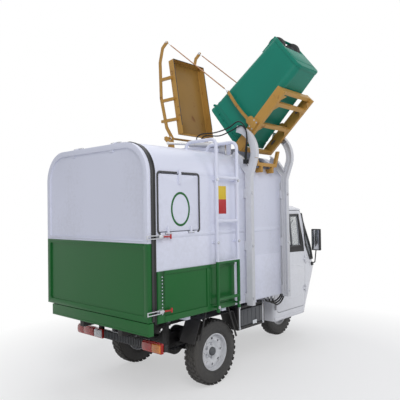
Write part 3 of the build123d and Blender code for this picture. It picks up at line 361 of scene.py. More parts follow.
class Tree(Graph):  # a geometry node tree with named inputs
    def __init__(self, name, inputs):
        super().__init__(bpy.data.node_groups.new(name, "GeometryNodeTree"))
        face = self.tree.interface
        face.new_socket("Mesh", in_out="INPUT", socket_type="NodeSocketGeometry")
        for label, value in inputs.items():
            kind = "NodeSocket" + {int: "Int", float: "Float", tuple: "Vector"}[type(value)]
            face.new_socket(label, in_out="INPUT", socket_type=kind).default_value = value
        face.new_socket("Mesh", in_out="OUTPUT", socket_type="NodeSocketGeometry")
        self.source = self.tree.nodes.new("NodeGroupInput")
        self.sink = self.tree.nodes.new("NodeGroupOutput")

    def given(self, label):
        return Term(self, self.source.outputs[label])

    def vector(self, x, y, z):
        return self.node("ShaderNodeCombineXYZ", {0: x, 1: y, 2: z})

    def moved(self, geometry, **way):  # way is a Translation, a Rotation or a Scale
        return self.node("GeometryNodeTransform", {0: geometry, **way})

    def joined(self, parts):
        n = self.tree.nodes.new("GeometryNodeJoinGeometry")
        for part in parts:
            self.feed(n.inputs[0], part)
        return Term(self, n.outputs[0])

    def copies(self, points, shape, facing, spin, size):  # shape on points, up along facing, turned by spin
        aim = self.node("FunctionNodeAlignRotationToVector", {2: facing}, axis="Z")
        lean = self.node("FunctionNodeRotateRotation", {0: aim, 1: spin}, rotation_space="LOCAL")
        sockets = {0: points, "Instance": shape, "Rotation": lean, "Scale": size}
        return self.node("GeometryNodeInstanceOnPoints", sockets)

    def close(self, geometry):
        self.feed(self.sink.inputs[0], geometry)

    def finish(self, geometry, key):
        self.key = key
        real = self.node("GeometryNodeRealizeInstances", {0: geometry})
        self.close(self.node("GeometryNodeSetMaterial", {0: real, "Material": materials[key]}))

    def on(self, thing, values, label="pattern"):
        work = thing.modifiers.new(label, "NODES")
        work.node_group = self.tree
        for item in self.tree.interface.items_tree:
            if item.in_out == "INPUT" and item.name in values:
                work[item.identifier] = values[item.name]


def roundedTree():  # smooth shading that keeps sharp edges
    tree = Tree("smoothByEdge", {"Sharp over": 0.6})
    angle = tree.node("GeometryNodeInputMeshEdgeAngle")
    limit = tree.given("Sharp over")
    under = tree.node("FunctionNodeCompare", {0: angle, 1: limit}, operation="LESS_THAN")
    faces = tree.node("GeometryNodeSetShadeSmooth", {0: tree.given("Mesh")})
    tree.close(tree.node("GeometryNodeSetShadeSmooth", {0: faces, 2: under}, domain="EDGE"))
    return tree


smoothTree = roundedTree()


def soften(thing, width=0.0, limit=34):  # small edge radius, then smooth shading
    if width:
        edge = thing.modifiers.new("edges", "BEVEL")
        edge.width, edge.segments, edge.limit_method, edge.angle_limit = width, 2, "ANGLE", math.radians(40)
        edge.use_clamp_overlap, edge.miter_outer = True, "MITER_SHARP"
    smoothTree.on(thing, {"Sharp over": math.radians(limit)}, "smooth")


# finish of the solids
looks = {
    "boxPaint": ("box_shell",), "doorPaint": ("rear_door",), "ladderPaint": ("ladder",),
    "railPaint": ("guide_rails",), "rimPaint": ("rim_right", "rim_left", "rim_front"),
    "white": ("box_floor", "side_hatch", "hopper_collar"), "green": ("rear_skirt",),
    "yellow": ("sill_lip", "lid_lugs", "bin_frame", "hopper_lid", "lid_arms"),
    "clamp": ("door_clamps",), "seat": ("driver_seat",), "lampBody": ("lamps",), "bin": ("bin_tub",),
    "steel": ("door_hinges", "guide_rollers", "lid_rods", "lid_ram_barrel", "control_valve"),
    "chrome": ("lid_ram_rod", "bed_ram_rod"), "rubber": ("seals", "hoses"),
    "tyre": ("tyre_right", "tyre_left", "tyre_front", "bin_wheels"),
    "cab": ("cab_shell", "cab_roof", "cab_door_right", "cab_door_left"),
    "black": ("chassis_frame", "rear_axle", "pump_tank", "tail_beam", "steering_fork", "bed_ram_barrel"),
    "darkPlastic": ("mudguards", "battery_case", "cab_floor", "dashboard", "mirrors"),
    "glass": ("cab_glass", "door_glass_right", "door_glass_left"),
}
edgeWidth = {
    "box_shell": 0.002, "rear_door": 0.003, "guide_rails": 0.002, "bin_frame": 0.002, "rear_skirt": 0.002,
    "chassis_frame": 0.002,
}
for key, names in looks.items():
    for nodeName in names:
        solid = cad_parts[nodeName]
        solid.data.materials.clear()
        solid.data.materials.append(materials[key])
        solid.modifiers.new("weld", "WELD").merge_threshold = 0.00002
        soften(solid, edgeWidth.get(nodeName, 0.001))
print("solids finished")
slotKeys = {
    "white_paint": ("white", "boxPaint", "railPaint", "doorPaint"), "green_paint": ("green",),
    "cab_paint": ("cab",), "yellow_paint": ("yellow", "lidPaintedShade", "rodPaint", "plateYellow"),
    "bin_plastic": ("bin",), "black_paint": ("black", "redPaint"), "tyre_rubber": ("tyre",),
    "dark_plastic": ("darkPlastic", "greyPlastic"), "black_rubber": ("rubber", "hose"), "steel": ("steel",),
    "chrome_rod": ("chrome",), "lamp_lens": ("redLens", "amberLens", "clearLens"), "seat_vinyl": ("seat",),
}
slots = {key: slot for slot, keys in slotKeys.items() for key in keys}


def seat(thing, body, key):  # rides on its body, in its finish
    thing.data.materials.clear()
    thing.data.materials.append(materials[key])
    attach(thing, body)
    return thing


def applied(thing):  # swaps the modifiers for the mesh that they make
    bpy.context.view_layer.update()
    made = bpy.data.meshes.new_from_object(thing.evaluated_get(bpy.context.evaluated_depsgraph_get()))
    thing.modifiers.clear()
    old, thing.data = thing.data, made
    bpy.data.meshes.remove(old)


def asMesh(thing, body, key, name):  # geometry nodes to a plain mesh on one body
    applied(thing)
    thing.name = thing.data.name = name
    return seat(thing, body, key)


def skin(mesh, rings):  # faces between neighbouring rings, where a ring may be one point
    sides = max(len(ring) for ring in rings)
    for low, high in zip(rings, rings[1:]):
        for k in range(sides):
            k2 = (k + 1) % sides
            corners = (low[k % len(low)], low[k2 % len(low)], high[k2 % len(high)], high[k % len(high)])
            face = list(dict.fromkeys(corners))
            if len(face) > 2:
                mesh.faces.new(face)


def asDrawn(p):  # drawing coordinates as they are
    return p


class Piece:  # one new piece, drawn in mm and finished when its with block ends
    def __init__(self, name, body, key, edge=0.001, to=asDrawn):
        self.name, self.body, self.key, self.edge, self.to = name, body, key, edge, to
        self.mesh = bmesh.new()

    def __enter__(self):
        return self

    def __exit__(self, kind, error, trace):
        if kind is None:
            self.done()

    def faces(self, points, rings):
        spots = [self.mesh.verts.new(at(*self.to(p))) for p in points]
        for ring in rings:
            self.mesh.faces.new([spots[i] for i in ring])

    def carried(self, outlines, axis, levels, bend):  # outlines laid at each level of an axis
        points = []
        for level in levels:
            for outline in outlines:
                for a, b in outline:
                    p = [a, b]
                    p.insert(axis, level)
                    points.append(bend(p, level) if bend else tuple(p))
        return points

    def slab(self, outline, axis, low, high, bend=None):  # an outline carried from low to high
        n = len(outline)
        rings = [list(range(n))[::-1], list(range(n, 2 * n))]
        rings += [[i, (i + 1) % n, n + (i + 1) % n, n + i] for i in range(n)]
        self.faces(self.carried([outline], axis, (low, high), bend), rings)

    def block(self, x, y, z):
        self.slab(rect(*x, *y), 2, *z)

    def frame(self, outer, inner, axis, low, high, bend=None):  # a flat ring between two outlines
        n = len(outer)
        rings = []
        for i in range(n):
            j = (i + 1) % n
            rings += [[i, j, n + j, n + i], [2 * n + i, 3 * n + i, 3 * n + j, 2 * n + j],
                      [i, 2 * n + i, 2 * n + j, j], [n + i, n + j, 3 * n + j, 3 * n + i]]
        self.faces(self.carried([outer, inner], axis, (low, high), bend), rings)

    def hoop(self, middle, up, side, radius, sides, widen=1):
        spokes = [up * math.cos(a) + side * math.sin(a) for a in turns(sides)]
        return [self.mesh.verts.new(at(*(middle + spoke * radius * widen))) for spoke in spokes]

    def pipe(self, points, radius, sides=10, closed=False):
        path = [Vector(self.to(p)) for p in points]
        count = len(path)
        rings, up = [], None
        for i, p in enumerate(path):
            back = path[i - 1] if (i or closed) else p
            ahead = path[(i + 1) % count] if (i < count - 1 or closed) else p
            into, out = (p - back).normalized(), (ahead - p).normalized()
            run = (into + out).normalized() if (into + out).length > 1e-6 else out
            if up is None:
                up = run.orthogonal().normalized()
            up = (up - run * up.dot(run)).normalized()
            widen = 1 / max(0.5, run.dot(out if out.length else into))  # a mitre at each bend
            rings.append(self.hoop(p, up, run.cross(up), radius, sides, widen))
        skin(self.mesh, rings + rings[:1] if closed else rings)
        if not closed:
            self.mesh.faces.new(rings[0][::-1])
            self.mesh.faces.new(rings[-1])

    def lathe(self, centre, axis, profile, sides=32):  # profile rows are radius, height
        centre, run = Vector(self.to(centre)), Vector(axis).normalized()
        up = run.orthogonal().normalized()
        side = run.cross(up)
        rings = []
        for r, h in profile:
            if r < 0.01:
                rings.append([self.mesh.verts.new(at(*(centre + run * h)))])
            else:
                rings.append(self.hoop(centre + run * h, up, side, r, sides))
        skin(self.mesh, rings)
        if profile[0] != profile[-1]:
            for ring in (rings[0], rings[-1]):
                if len(ring) > 2:
                    self.mesh.faces.new(ring)

    def done(self):
        bmesh.ops.remove_doubles(self.mesh, verts=self.mesh.verts, dist=1e-6)
        bmesh.ops.recalc_face_normals(self.mesh, faces=self.mesh.faces)
        data = bpy.data.meshes.new(self.name)
        self.mesh.to_mesh(data)
        self.mesh.free()
        thing = linked(self.name, data)
        soften(thing, self.edge)
        return seat(thing, self.body, self.key)


def headTree(name, key, dome):  # bolt or rivet heads on points that have a facing and a size
    tree = Tree(name, {"Head radius": 0.008, "Head height": 0.006, "Seed": 4})
    wide, tall = tree.given("Head radius"), tree.given("Head height")
    facing = tree.node("GeometryNodeInputNamedAttribute", {0: "facing"}, data_type="FLOAT_VECTOR")
    size = tree.node("GeometryNodeInputNamedAttribute", {0: "size"}, data_type="FLOAT")
    if dome:
        ball = tree.node("GeometryNodeMeshUVSphere", {"Segments": 10, "Rings": 6, "Radius": wide})
        shape = tree.moved(ball, Scale=(1, 1, 0.5))
    else:
        sockets = {"Vertices": 6, "Radius": wide, "Depth": tall}
        hexagon = tree.node("GeometryNodeMeshCylinder", sockets)
        sockets = {"Vertices": 16, "Radius": wide * 1.45, "Depth": tall * 0.5}
        washer = tree.node("GeometryNodeMeshCylinder", sockets)
        shape = tree.joined((tree.moved(hexagon, Translation=tree.vector(0, 0, tall * 0.6)), washer))
    sockets = {2: 0.0, 3: 1.05, "Seed": tree.given("Seed")}  # each head stops at another angle
    chance = tree.node("FunctionNodeRandomValue", sockets, 1, data_type="FLOAT")
    tree.finish(tree.copies(tree.given("Mesh"), shape, facing, tree.vector(0, 0, chance), size), key)
    return tree


hexHeads, rivetHeads = headTree("hexHeads", "steel", False), headTree("rivetHeads", "white", True)
facingOf = {"r": (0, -1, 0), "l": (0, 1, 0), "b": (-1, 0, 0), "f": (1, 0, 0), "u": (0, 0, 1)}


def sideways(s):  # facing of what sits on the right (-1) or the left (1)
    return "l" if s > 0 else "r"


def heads(name, body, spots, radius=0.008, height=0.006, tree=hexHeads):  # rows of x, y, z, facing, size
    data = bpy.data.meshes.new(name)
    data.from_pydata([at(*spot[:3]) for spot in spots], [], [])
    facing = data.attributes.new("facing", "FLOAT_VECTOR", "POINT")
    for i, spot in enumerate(spots):
        facing.data[i].vector = facingOf[spot[3]]
    sizes = data.attributes.new("size", "FLOAT", "POINT")
    for i, spot in enumerate(spots):
        sizes.data[i].value = spot[4]
    thing = linked(name, data)
    tree.on(thing, {"Head radius": radius, "Head height": height})
    asMesh(thing, body, tree.key, name)


print("tools ready")

# tyres with tread, in place of the plain ones
tyre = {
    "radius": 272.5, "width": 115, "rim": 152.5, "sides": 96, "nuts": 5, "nutRing": 58,
    "shoulderShrink": 0.982,  # the outer rows sit a little lower
    "tread": {"Radius": 0.2672, "Lugs": 34, "Lug long": 0.030, "Lug wide": 0.021, "Lug tall": 0.0065,
              "Row": 0.036 / 1.35},  # in metres, as the tree takes them
    # rows of lugs: place across the tread, slant, start round the wheel
    "rows": ((-1, 0.5, 0), (1, -0.5, 0.5), (-1.62, 0.12, 0.35), (1.62, -0.12, 0.85), (0, 0, 0.2)),
    "places": {"tyre_right": (850, -477.5, "rear_wheel_right"), "tyre_left": (850, 477.5, "rear_wheel_left"),
               "tyre_front": (2560, 0, "front_wheel")},
}


def tyreTree():
    tree = Tree("tyreTread", {**tyre["tread"], "Centre": (0.0, 0.0, 0.0)})
    count = tree.given("Lugs")
    lugSize = tree.vector(tree.given("Lug long"), tree.given("Lug wide"), tree.given("Lug tall"))
    lug = tree.node("GeometryNodeMeshCube", {0: lugSize})
    parts = [tree.given("Mesh")]
    for side, slant, start in tyre["rows"]:
        shoulder = abs(side) > 1.2
        sockets = {"Vertices": count, "Radius": tree.given("Radius")}
        circle = tree.node("GeometryNodeMeshCircle", sockets)
        upright = tree.moved(circle, Rotation=(math.pi / 2, 0, 0))
        row = tree.moved(upright, Rotation=tree.vector(0, start * 2 * math.pi / count, 0))
        outward = tree.node("GeometryNodeInputPosition")
        lugs = tree.copies(row, lug, outward, (0, 0, slant), (1 if shoulder else 0.9, 1, 1))
        shrink = tyre["shoulderShrink"] if shoulder else 1
        across = tree.vector(0, tree.given("Row") * side, 0)
        parts.append(tree.moved(lugs, Translation=across, Scale=(shrink, 1, shrink)))
    tree.finish(tree.moved(tree.joined(parts), Translation=tree.given("Centre")), "tyre")
    return tree


def tyreCasing():  # a round of the tyre's section, whose rows are radius, height
    w = tyre["width"] / 2
    section = [
        (tyre["rim"], -w + 14), (158, -w + 9), (168, -w + 8), (172, -w + 3), (176, -w + 3), (180, -w + 1),
        (205, -w), (228, -w + 1), (232, -w + 3), (236, -w + 2), (246, -w + 6), (256, -w + 12),
        (263, -w + 24), (266, -w + 40), (267, 0)]
    section += [(r, -h) for r, h in section[-2::-1]]
    mesh = bmesh.new()
    spokes = [(math.sin(a), math.cos(a)) for a in turns(tyre["sides"])]
    rings = [[mesh.verts.new(Vector((r * x, h, r * z)) / 1000) for x, z in spokes] for r, h in section]
    skin(mesh, rings + rings[:1])
    bmesh.ops.recalc_face_normals(mesh, faces=mesh.faces)
    data = bpy.data.meshes.new("casing")
    mesh.to_mesh(data)
    mesh.free()
    for face in data.polygons:
        face.use_smooth = True
    return linked("casing", data)


treadTree = tyreTree()
for nodeName, (x, y, body) in tyre["places"].items():
    thing = tyreCasing()
    treadTree.on(thing, {**tyre["tread"], "Centre": at(x, y, tyre["radius"])})
    made = asMesh(thing, body, "tyre", nodeName + "_tread")
    soften(made, 0, 40)
    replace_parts(made, nodeName)
    if y:
        out = math.copysign(1, y)
        with Piece(body + "_cap", body, "greyPlastic", 0.0008) as cap:
            cap.lathe((x, y + out * 10.5, tyre["radius"]), (0, out, 0),
                      [(36, 0), (36, 8), (33, 16), (24, 23), (12, 26), (0, 27)])
        ring = tyre["nutRing"]
        heads(body + "_nuts", body, [
            (x + ring * math.cos(a), y - out * 7.5, tyre["radius"] + ring * math.sin(a), sideways(out), 1.5)
            for a in turns(tyre["nuts"])])
print("wheels done")

# box sides, hatch and rear door
boxSize = {
    "crease": (1258, 1300), "creaseOut": 5, "band": 1028, "bandWide": 26, "panel": (150, 610, 960),
    "foot": (664, 706), "ledge": 1058, "hatch": (330, 1470), "ovals": ((100, 128), (84, 111)),
    "doorArc": 253, "doorArcAt": (405, 1715), "doorBeads": (1218, 1246), "clampZ": (748, 1276),
    "rails": (1125, 1685), "bay": (1152, 1658), "shoulder": 1712, "roof": 1965,
}


def oval(middle, across, tall, count=48):
    return [(middle[0] + across * math.cos(a), middle[1] + tall * math.sin(a)) for a in turns(count)]


with Piece("waistPress", "box", "white", 0.003) as waist:
    z0, z1 = boxSize["crease"]
    for x0, x1 in ((124, 1098), boxSize["bay"]):
        for s in (-1, 1):
            outside, inside = s * (half + boxSize["creaseOut"]), s * (half - 1)
            waist.slab([(outside, z0 + 12), (outside, z1 - 12), (inside, z1), (inside, z0)], 0, x0, x1)
with Piece("greenFrame", "box", "green", 0.002) as greenFrame:
    (x0, x1, x2), foot, top = boxSize["panel"], boxSize["foot"], boxSize["band"]
    low = top - boxSize["bandWide"]
    for x, z in (((84, x0), (foot[0], top)), ((x0, x2), (low, top)), ((x1, x1 + 44), (foot[1], low)),
                 ((x0, x2), foot)):
        greenFrame.block(x, (-half - 7, -half + 1), z)
with Piece("sideLedges", "box", "boxPaint", 0.004) as ledge:
    (low, high), top = boxSize["foot"], boxSize["ledge"]
    outline = [(-half - 6, low + 4), (-half - 6, top - 10), (-half + 1, top), (-half + 1, low + 4)]
    ledge.slab(outline, 0, *boxSize["bay"])
    ledge.slab([(half + 6, low + 4), (half + 6, high - 6), (half - 1, high), (half - 1, low)], 0, 66, 1700)
    for x in (600, 1105, 1400):
        ledge.block((x - 22, x + 22), (half - 1, half + 4), (high, 1700))
with Piece("cornerPosts", "box", "railPaint", 0.003) as post:
    for s in (-1, 1):
        inside, outside, back = s * (half - 1), s * (half + 4), s * (half - 40)
        outline = [(1672, inside), (1672, outside), (1714, outside), (1714, back), (1709, back), (1709, inside)]
        post.slab(outline, 2, boxSize["foot"][0], boxSize["shoulder"])
with Piece("hatchRing", "side_hatch", "green", 0.0006) as ovalRing:
    outer, inner = (oval(boxSize["hatch"], *radii) for radii in boxSize["ovals"])
    ovalRing.frame(outer, inner, 1, -half - 1.6, -half + 0.5)
with Piece("doorBeads", "rear_door", "doorPaint", 0.002) as beads:
    for z in boxSize["doorBeads"]:
        beads.block((-4, 1), (-half + 44, half - 44), (z, z + 10))
with Piece("doorEdgeSeal", "rear_door", "rubber", 0.002) as doorEdge:
    r, (y, z), heights = boxSize["doorArc"], boxSize["doorArcAt"], (684, 1000, 1400, boxSize["shoulder"])
    doorEdge.pipe(
        [(38, -half - 3, low) for low in heights]
        + [(38, -y - r * math.cos(a), z + r * math.sin(a)) for a in (0.12, 0.3, 0.6, 0.9, 1.2, 1.45)]
        + [(38, y + r * math.sin(a), z + r * math.cos(a)) for a in (0.12, 0.37, 0.67, 0.97, 1.27, 1.45)]
        + [(38, half + 3, low) for low in heights[::-1]], 5, 8)
rivets = [(128, -half - 7, z, "r", 0.6) for z in range(724, 1000, 24)]
heads("sideRivets", "box", rivets, tree=rivetHeads)
rivets = [(x, s * half, boxSize["shoulder"] + 4, sideways(s), 0.8) for s in (-1, 1)
          for x in range(120, 1090, 88)]
rivets += [(x, y, boxSize["roof"], "u", 0.8) for x in (90, 1150, 1690) for y in range(-380, 400, 95)
           if x != 1150 or y >= 260]  # none where the hopper's mouth is
heads("roofRivets", "box", rivets, 0.007, tree=rivetHeads)
bolts = [(x, -half - 8, z, "r", 0.8) for z in boxSize["clampZ"] for x in (82, 126)]
bolts += [(x, -half - 58, z, "r", 1.0) for x in (695, 960) for z in (690, 1200, 1700)]
bolts += [(x, -half - 81, z, "r", 1.2) for x in boxSize["rails"] for z in (700, 1150, 1600)]
heads("boxBolts", "box", bolts, 0.009)
with Piece("clampHandles", "box", "redPaint", 0.0015) as handles:
    for z in boxSize["clampZ"]:
        handles.pipe([(132, -half - 21, z - 1), (178, -half - 21, z - 3)], 6.2, 14)
print("box dressed")

# tail lamps and plate
tail = {
    "rear": 226, "foot": 392, "head": 468, "beam": 239, "ribs": 24, "ribPitch": 20.4,
    "lamps": (("tailLenses", "redLens", ((-440, -334), (302, 440), (444, 531))),
              ("reverseLens", "clearLens", ((190, 286),)), ("turnLenses", "amberLens", ((-531, -444),))),
}
for name, key, spans in tail["lamps"]:
    x, low, high = tail["rear"], tail["foot"], tail["head"]
    with Piece(name, "chassis", key, 0.003) as lens:
        for y0, y1 in spans:
            lens.slab([(x + 1, low + 4), (x - 12, low + 8), (x - 16, low + 38), (x - 12, high - 8),
                       (x + 1, high - 4)], 1, y0, y1)
with Piece("tailRibs", "chassis", "greyPlastic", 0.0015) as ribs:
    for i in range(tail["ribs"]):
        y = -310 + i * tail["ribPitch"]
        ribs.slab([(tail["beam"], 400), (231, 406), (231, 458), (tail["beam"], 464)], 1, y, y + 9)
with Piece("plateLight", "chassis", "steel") as plate:
    plate.slab([(tail["beam"], 469), (228, 469), (222, 474), (226, 480), (tail["beam"], 480)], 1, -60, 60)
print("tail dressed")

# cab: its skin is drawn through rows of height, nose, corner, half width, nose half width
cab = {
    "rows": ((360, 2620, 2330, 520, 200), (800, 2850, 2500, 532, 250), (1000, 2820, 2475, 532, 250),
             (1460, 2500, 2335, 495, 230), (1490, 2440, 2280, 440, 180)),
    "back": 1745, "cornerR": 150, "noseR": 110, "screenHalf": 400, "screenZ": (1022, 1120, 1220, 1320, 1418),
    "mirrorY": 606, "roof": 1488,
    "sideGlass": rect(1850, 2250, 1075, 1400),
    "quarterGlass": [(2352, 1080), (2425, 925), (2474, 925), (2462, 1080), (2428, 1240), (2376, 1400),
                     (2352, 1400)],
    "blackout": [(1802, 1024), (2313, 1010), (2313, 1433), (1802, 1433)],
    "swages": ((5, ((1802, 905), (1950, 902), (2150, 880), (2312, 846))),
               (4.5, ((1850, 640), (1900, 560), (2100, 545), (2260, 560), (2290, 640)))),
}


def roundCorner(before, corner, after, r, count=7):
    a, b, c = Vector(before), Vector(corner), Vector(after)
    into, out = (a - b).normalized(), (c - b).normalized()
    opening = into.angle(out)
    reach = r / math.tan(opening / 2)
    middle = b + (into + out).normalized() * (r / math.sin(opening / 2))
    start, end = b + into * reach - middle, b + out * reach - middle
    sweep = start.angle(end)
    shares = ((math.sin(sweep * (1 - k / count)), math.sin(sweep * k / count)) for k in range(count + 1))
    return [middle + (start * first + end * second) / math.sin(sweep) for first, second in shares]


def cabRow(row):
    z, nose, corner, wide, tip = row
    a, b, c, d = (cab["back"], wide), (corner, wide), (nose, tip), (nose, 0)
    bends = roundCorner(a, b, c, cab["cornerR"]) + roundCorner(b, c, d, cab["noseR"])
    return [Vector(a)] + bends + [Vector(d)]


cabLines = [(row[0], cabRow(row)) for row in cab["rows"]]


def cabRing(z):  # half outline of the cab at a height
    for (za, low), (zb, high) in zip(cabLines, cabLines[1:]):
        if z <= zb:
            break
    k = (z - za) / (zb - za)
    return [p.lerp(q, k) for p, q in zip(low, high)]


def cabSpot(y, z, out=0.0):  # the skin's point ahead, at y and z
    ring = cabRing(z)
    for p, q in zip(ring[1:], ring[2:]):
        if min(p.y, q.y) - 1e-6 <= abs(y) <= max(p.y, q.y) + 1e-6 and p.y != q.y:
            k = (abs(y) - p.y) / (q.y - p.y)
            spot, run = p.lerp(q, k), (q - p).normalized()
            x, wide = spot.x - run.y * out, spot.y + run.x * out
            return (x, math.copysign(wide, y) if y else 0.0, z)
    return (ring[-1].x + out, y, z)


def flank(x, z, s, out):  # the skin's point beside, at x and z
    ring = cabRing(z)
    for p, q in zip(ring, ring[1:]):
        if p.x <= x <= q.x:
            run = (q - p).normalized()
            spot = p.lerp(q, (x - p.x) / max(q.x - p.x, 1e-6))
            return (spot.x - run.y * out, s * (spot.y + run.x * out), z)
    return (x, s * (ring[0].y + out), z)


def onFlank(s):
    def bend(p, level):
        return flank(p[0], p[2], s, level)
    return bend


def widened(points, by):  # an outline pushed out from its middle
    cx, cz = sum(p[0] for p in points) / len(points), sum(p[1] for p in points) / len(points)
    return [(x + math.copysign(by, x - cx), z + math.copysign(by, z - cz)) for x, z in points]


def splitLong(points, step=60):  # more points on long edges, for curved skins
    out = []
    for (xa, za), (xb, zb) in zip(points, points[1:] + points[:1]):
        count = max(1, int(math.dist((xa, za), (xb, zb)) / step))
        out += [(xa + (xb - xa) * k / count, za + (zb - za) * k / count) for k in range(count)]
    return out


def dressDoor(s, tag):
    body, bend = "door_" + tag, onFlank(s)

    def beside(points, out):
        return [flank(x, z, s, out) for x, z in points]

    with Piece("doorBlackout_" + tag, body, "darkPlastic") as surround:
        inner = [(x + (4 if x < 2000 else -4), z + (4 if z < 1200 else -4)) for x, z in cab["sideGlass"]]
        surround.frame(cab["blackout"], inner, 1, -1, 2.5, bend)
    with Piece("doorGasket_" + tag, body, "rubber", 0) as gasket:
        gasket.pipe(beside(splitLong(cab["sideGlass"], 120), 2), 7, 8, True)
    with Piece("doorMullion_" + tag, body, "greyPlastic") as bars:
        bars.slab(rect(2076, 2098, 1079, 1396), 1, -9, 1, bend)
        bars.slab(rect(1854, 2246, 1377, 1396), 1, -8, 0.5, bend)
    with Piece("quarterGasket_" + tag, "chassis", "rubber", 0) as gasket:
        gasket.pipe(beside(splitLong(widened(cab["quarterGlass"], 4), 50), 1), 11, 8, True)
    with Piece("doorHandle_" + tag, body, "darkPlastic", 0.002) as handle:
        outline = [(1822, 946), (1946, 946), (1956, 958), (1956, 990), (1946, 1000), (1822, 1000)]
        handle.slab(outline, 1, -1, 3, bend)
        handle.slab(rect(1838, 1938, 964, 982), 1, 3, 12, bend)
    with Piece("doorSwage_" + tag, body, "cab", 0) as swage:
        for r, points in cab["swages"]:
            swage.pipe(beside(points, -2), r, 8)
    with Piece("cabSill_" + tag, "chassis", "cab", 0.002) as sill:
        sill.slab(splitLong([(1752, 368), (2376, 368), (2386, 392), (1752, 392)]), 1, -1, 5, bend)
    with Piece("cabVents_" + tag, "chassis", "darkPlastic") as vents:
        for x in (1756, 1772):
            vents.slab(rect(x, x + 7, 470, 560), 1, -1, 1.5, bend)
    with Piece("rainGutter_" + tag, "chassis", "cab", 0) as gutter:
        gutter.pipe(beside([(x, 1452) for x in (1760, 1900, 2100, 2290, 2330, 2370)], 1), 5, 8)
    y = s * cab["mirrorY"]
    with Piece("mirrorGlass_" + tag, "chassis", "chrome") as mirror:
        mirror.slab(rect(y - 41, y + 41, 1022, 1230), 0, 2424.5, 2427)
    with Piece("mirrorShell_" + tag, "chassis", "darkPlastic", 0.006) as mirror:
        mirror.slab(rect(y - 50, y + 50, 1012, 1240), 0, 2430, 2462)


for s, tag in bothSides:
    dressDoor(s, tag)
with Piece("screenGasket", "chassis", "rubber", 0) as gasket:
    edge, reach, heights = cab["screenHalf"] - 4, cab["screenHalf"] - 30, cab["screenZ"]
    loop = [(edge, z) for z in heights] + [(y, heights[-1] + 3) for y in range(reach, -reach - 1, -30)]
    loop += [(-edge, z) for z in heights[::-1]] + [(y, heights[0] - 3) for y in range(-reach, reach + 1, 30)]
    gasket.pipe([cabSpot(y, z, 1) for y, z in loop], 12, 8, True)
nose = {
    "grilleZ": 560, "grilleBars": 5, "grillePitch": 30, "beltZ": 965, "bumperZ": 455, "plateZ": (862, 925),
    "lampY": 255, "lampZ": 790, "turnY": 372, "turnZ": (772, 822),
}
with Piece("noseTrim", "chassis", "darkPlastic", 0.0015) as trim:
    for i in range(nose["grilleBars"]):
        z = nose["grilleZ"] + i * nose["grillePitch"]
        trim.pipe([cabSpot(y, z, 2) for y in (-150, -75, 0, 75, 150)], 7, 8)
    trim.pipe([cabSpot(y, nose["beltZ"], 1) for y in range(-420, 421, 60)], 9, 8)
with Piece("bumperBar", "chassis", "darkPlastic", 0) as bumper:
    for s in (1, -1):
        bumper.pipe([cabSpot(-s * y, nose["bumperZ"], 14) for y in (430, 360, 300, 262)], 15, 12)
with Piece("frontPlate", "chassis", "white") as blank:
    x, (z0, z1) = cabSpot(0, 890)[0], nose["plateZ"]
    blank.slab(rect(-150, 150, z0, z1), 0, x - 2, x + 5)
# sections of the head lamp, as rows of radius and distance ahead
lampRing = [(58.5, 2800), (63, 2800), (63, 2882), (60, 2889), (53, 2891), (51, 2886), (51, 2870),
            (58.5, 2868)]
lampDome = [(0, 2860), (52, 2860), (52, 2884), (44, 2887), (24, 2889.5), (0, 2890.5)]
for s, tag in bothSides:
    y, z = s * nose["lampY"], nose["lampZ"]
    with Piece("lampBezel_" + tag, "chassis", "chrome", 0) as bezel:
        bezel.lathe((0, y, z), (1, 0, 0), lampRing, 40)
    with Piece("headLens_" + tag, "chassis", "clearLens", 0) as lens:
        lens.lathe((0, y, z), (1, 0, 0), lampDome, 40)
    with Piece("frontTurn_" + tag, "chassis", "amberLens", 0.002) as turn:
        spot = cabSpot(s * nose["turnY"], 800)
        belt = cab["rows"][1]
        way = Vector((belt[1] - belt[2], belt[4] - belt[3])).normalized()
        lift = Vector((-way.y, way.x)) * 12
        (xa, ya), (xb, yb) = base = [(spot[0] + way.x * k, abs(spot[1]) + way.y * k) for k in (-34, 34)]
        lid = [(xb + lift.x * 0.8, yb + lift.y * 0.8), (xa + lift.x, ya + lift.y)]
        turn.slab([(px, s * py) for px, py in base + lid], 2, *nose["turnZ"])
with Piece("wiper", "chassis", "black", 0) as wipers:
    arm = ((150, 992, 10), (120, 1030, 26), (-60, 1180, 22), (-140, 1260, 17))
    wipers.pipe([cabSpot(*spot) for spot in arm], 4.5, 8)
    wipers.pipe([cabSpot(0, 1130, 13), cabSpot(-230, 1335, 11)], 3.5, 8)
    wipers.lathe(cabSpot(150, 990), (0.8, 0, 0.6), [(0, -4), (14, -4), (14, 8), (10, 14), (0, 15)], 20)
with Piece("roofHood", "chassis", "cab", 0.004) as hood:
    z = cab["roof"]
    scoop = [(2080, z), (2330, z), (2280, z + 28), (2230, z + 42), (2150, z + 42), (2110, z + 28)]
    hood.slab(scoop, 1, -150, 150)
    hood.slab([(2030, z), (2390, z), (2384, z + 6), (2036, z + 6)], 1, -220, 220)
with Piece("cabBackGasket", "chassis", "rubber", 0) as gasket:
    gasket.pipe([(cab["back"] - 2, y, z) for y, z in rect(-326, 326, 1124, 1396)], 9, 8, True)
screws = [(*flank(x, z, s, 1), sideways(s), 0.7) for s in (-1, 1)
          for x, z in ((1765, 1040), (1765, 700), (2345, 880), (2345, 620))]
screws += [(*cabSpot(y, 893, 5), "f", 0.6) for y in (-136, 136)]
heads("cabScrews", "chassis", screws, 0.007, 0.004)
with Piece("wheelBoss", "steering", "darkPlastic", 0) as boss:
    boss.lathe((2301, 0, 985), (-0.3, 0, 1), [(0, -4), (34, -4), (36, 6), (30, 22), (12, 30), (0, 31)], 28)
with Piece("dialPod", "chassis", "darkPlastic", 0.004) as dials:
    dials.slab([(2520, 983), (2600, 983), (2600, 1030), (2545, 1046), (2528, 1034)], 1, -110, 110)
print("cab dressed")

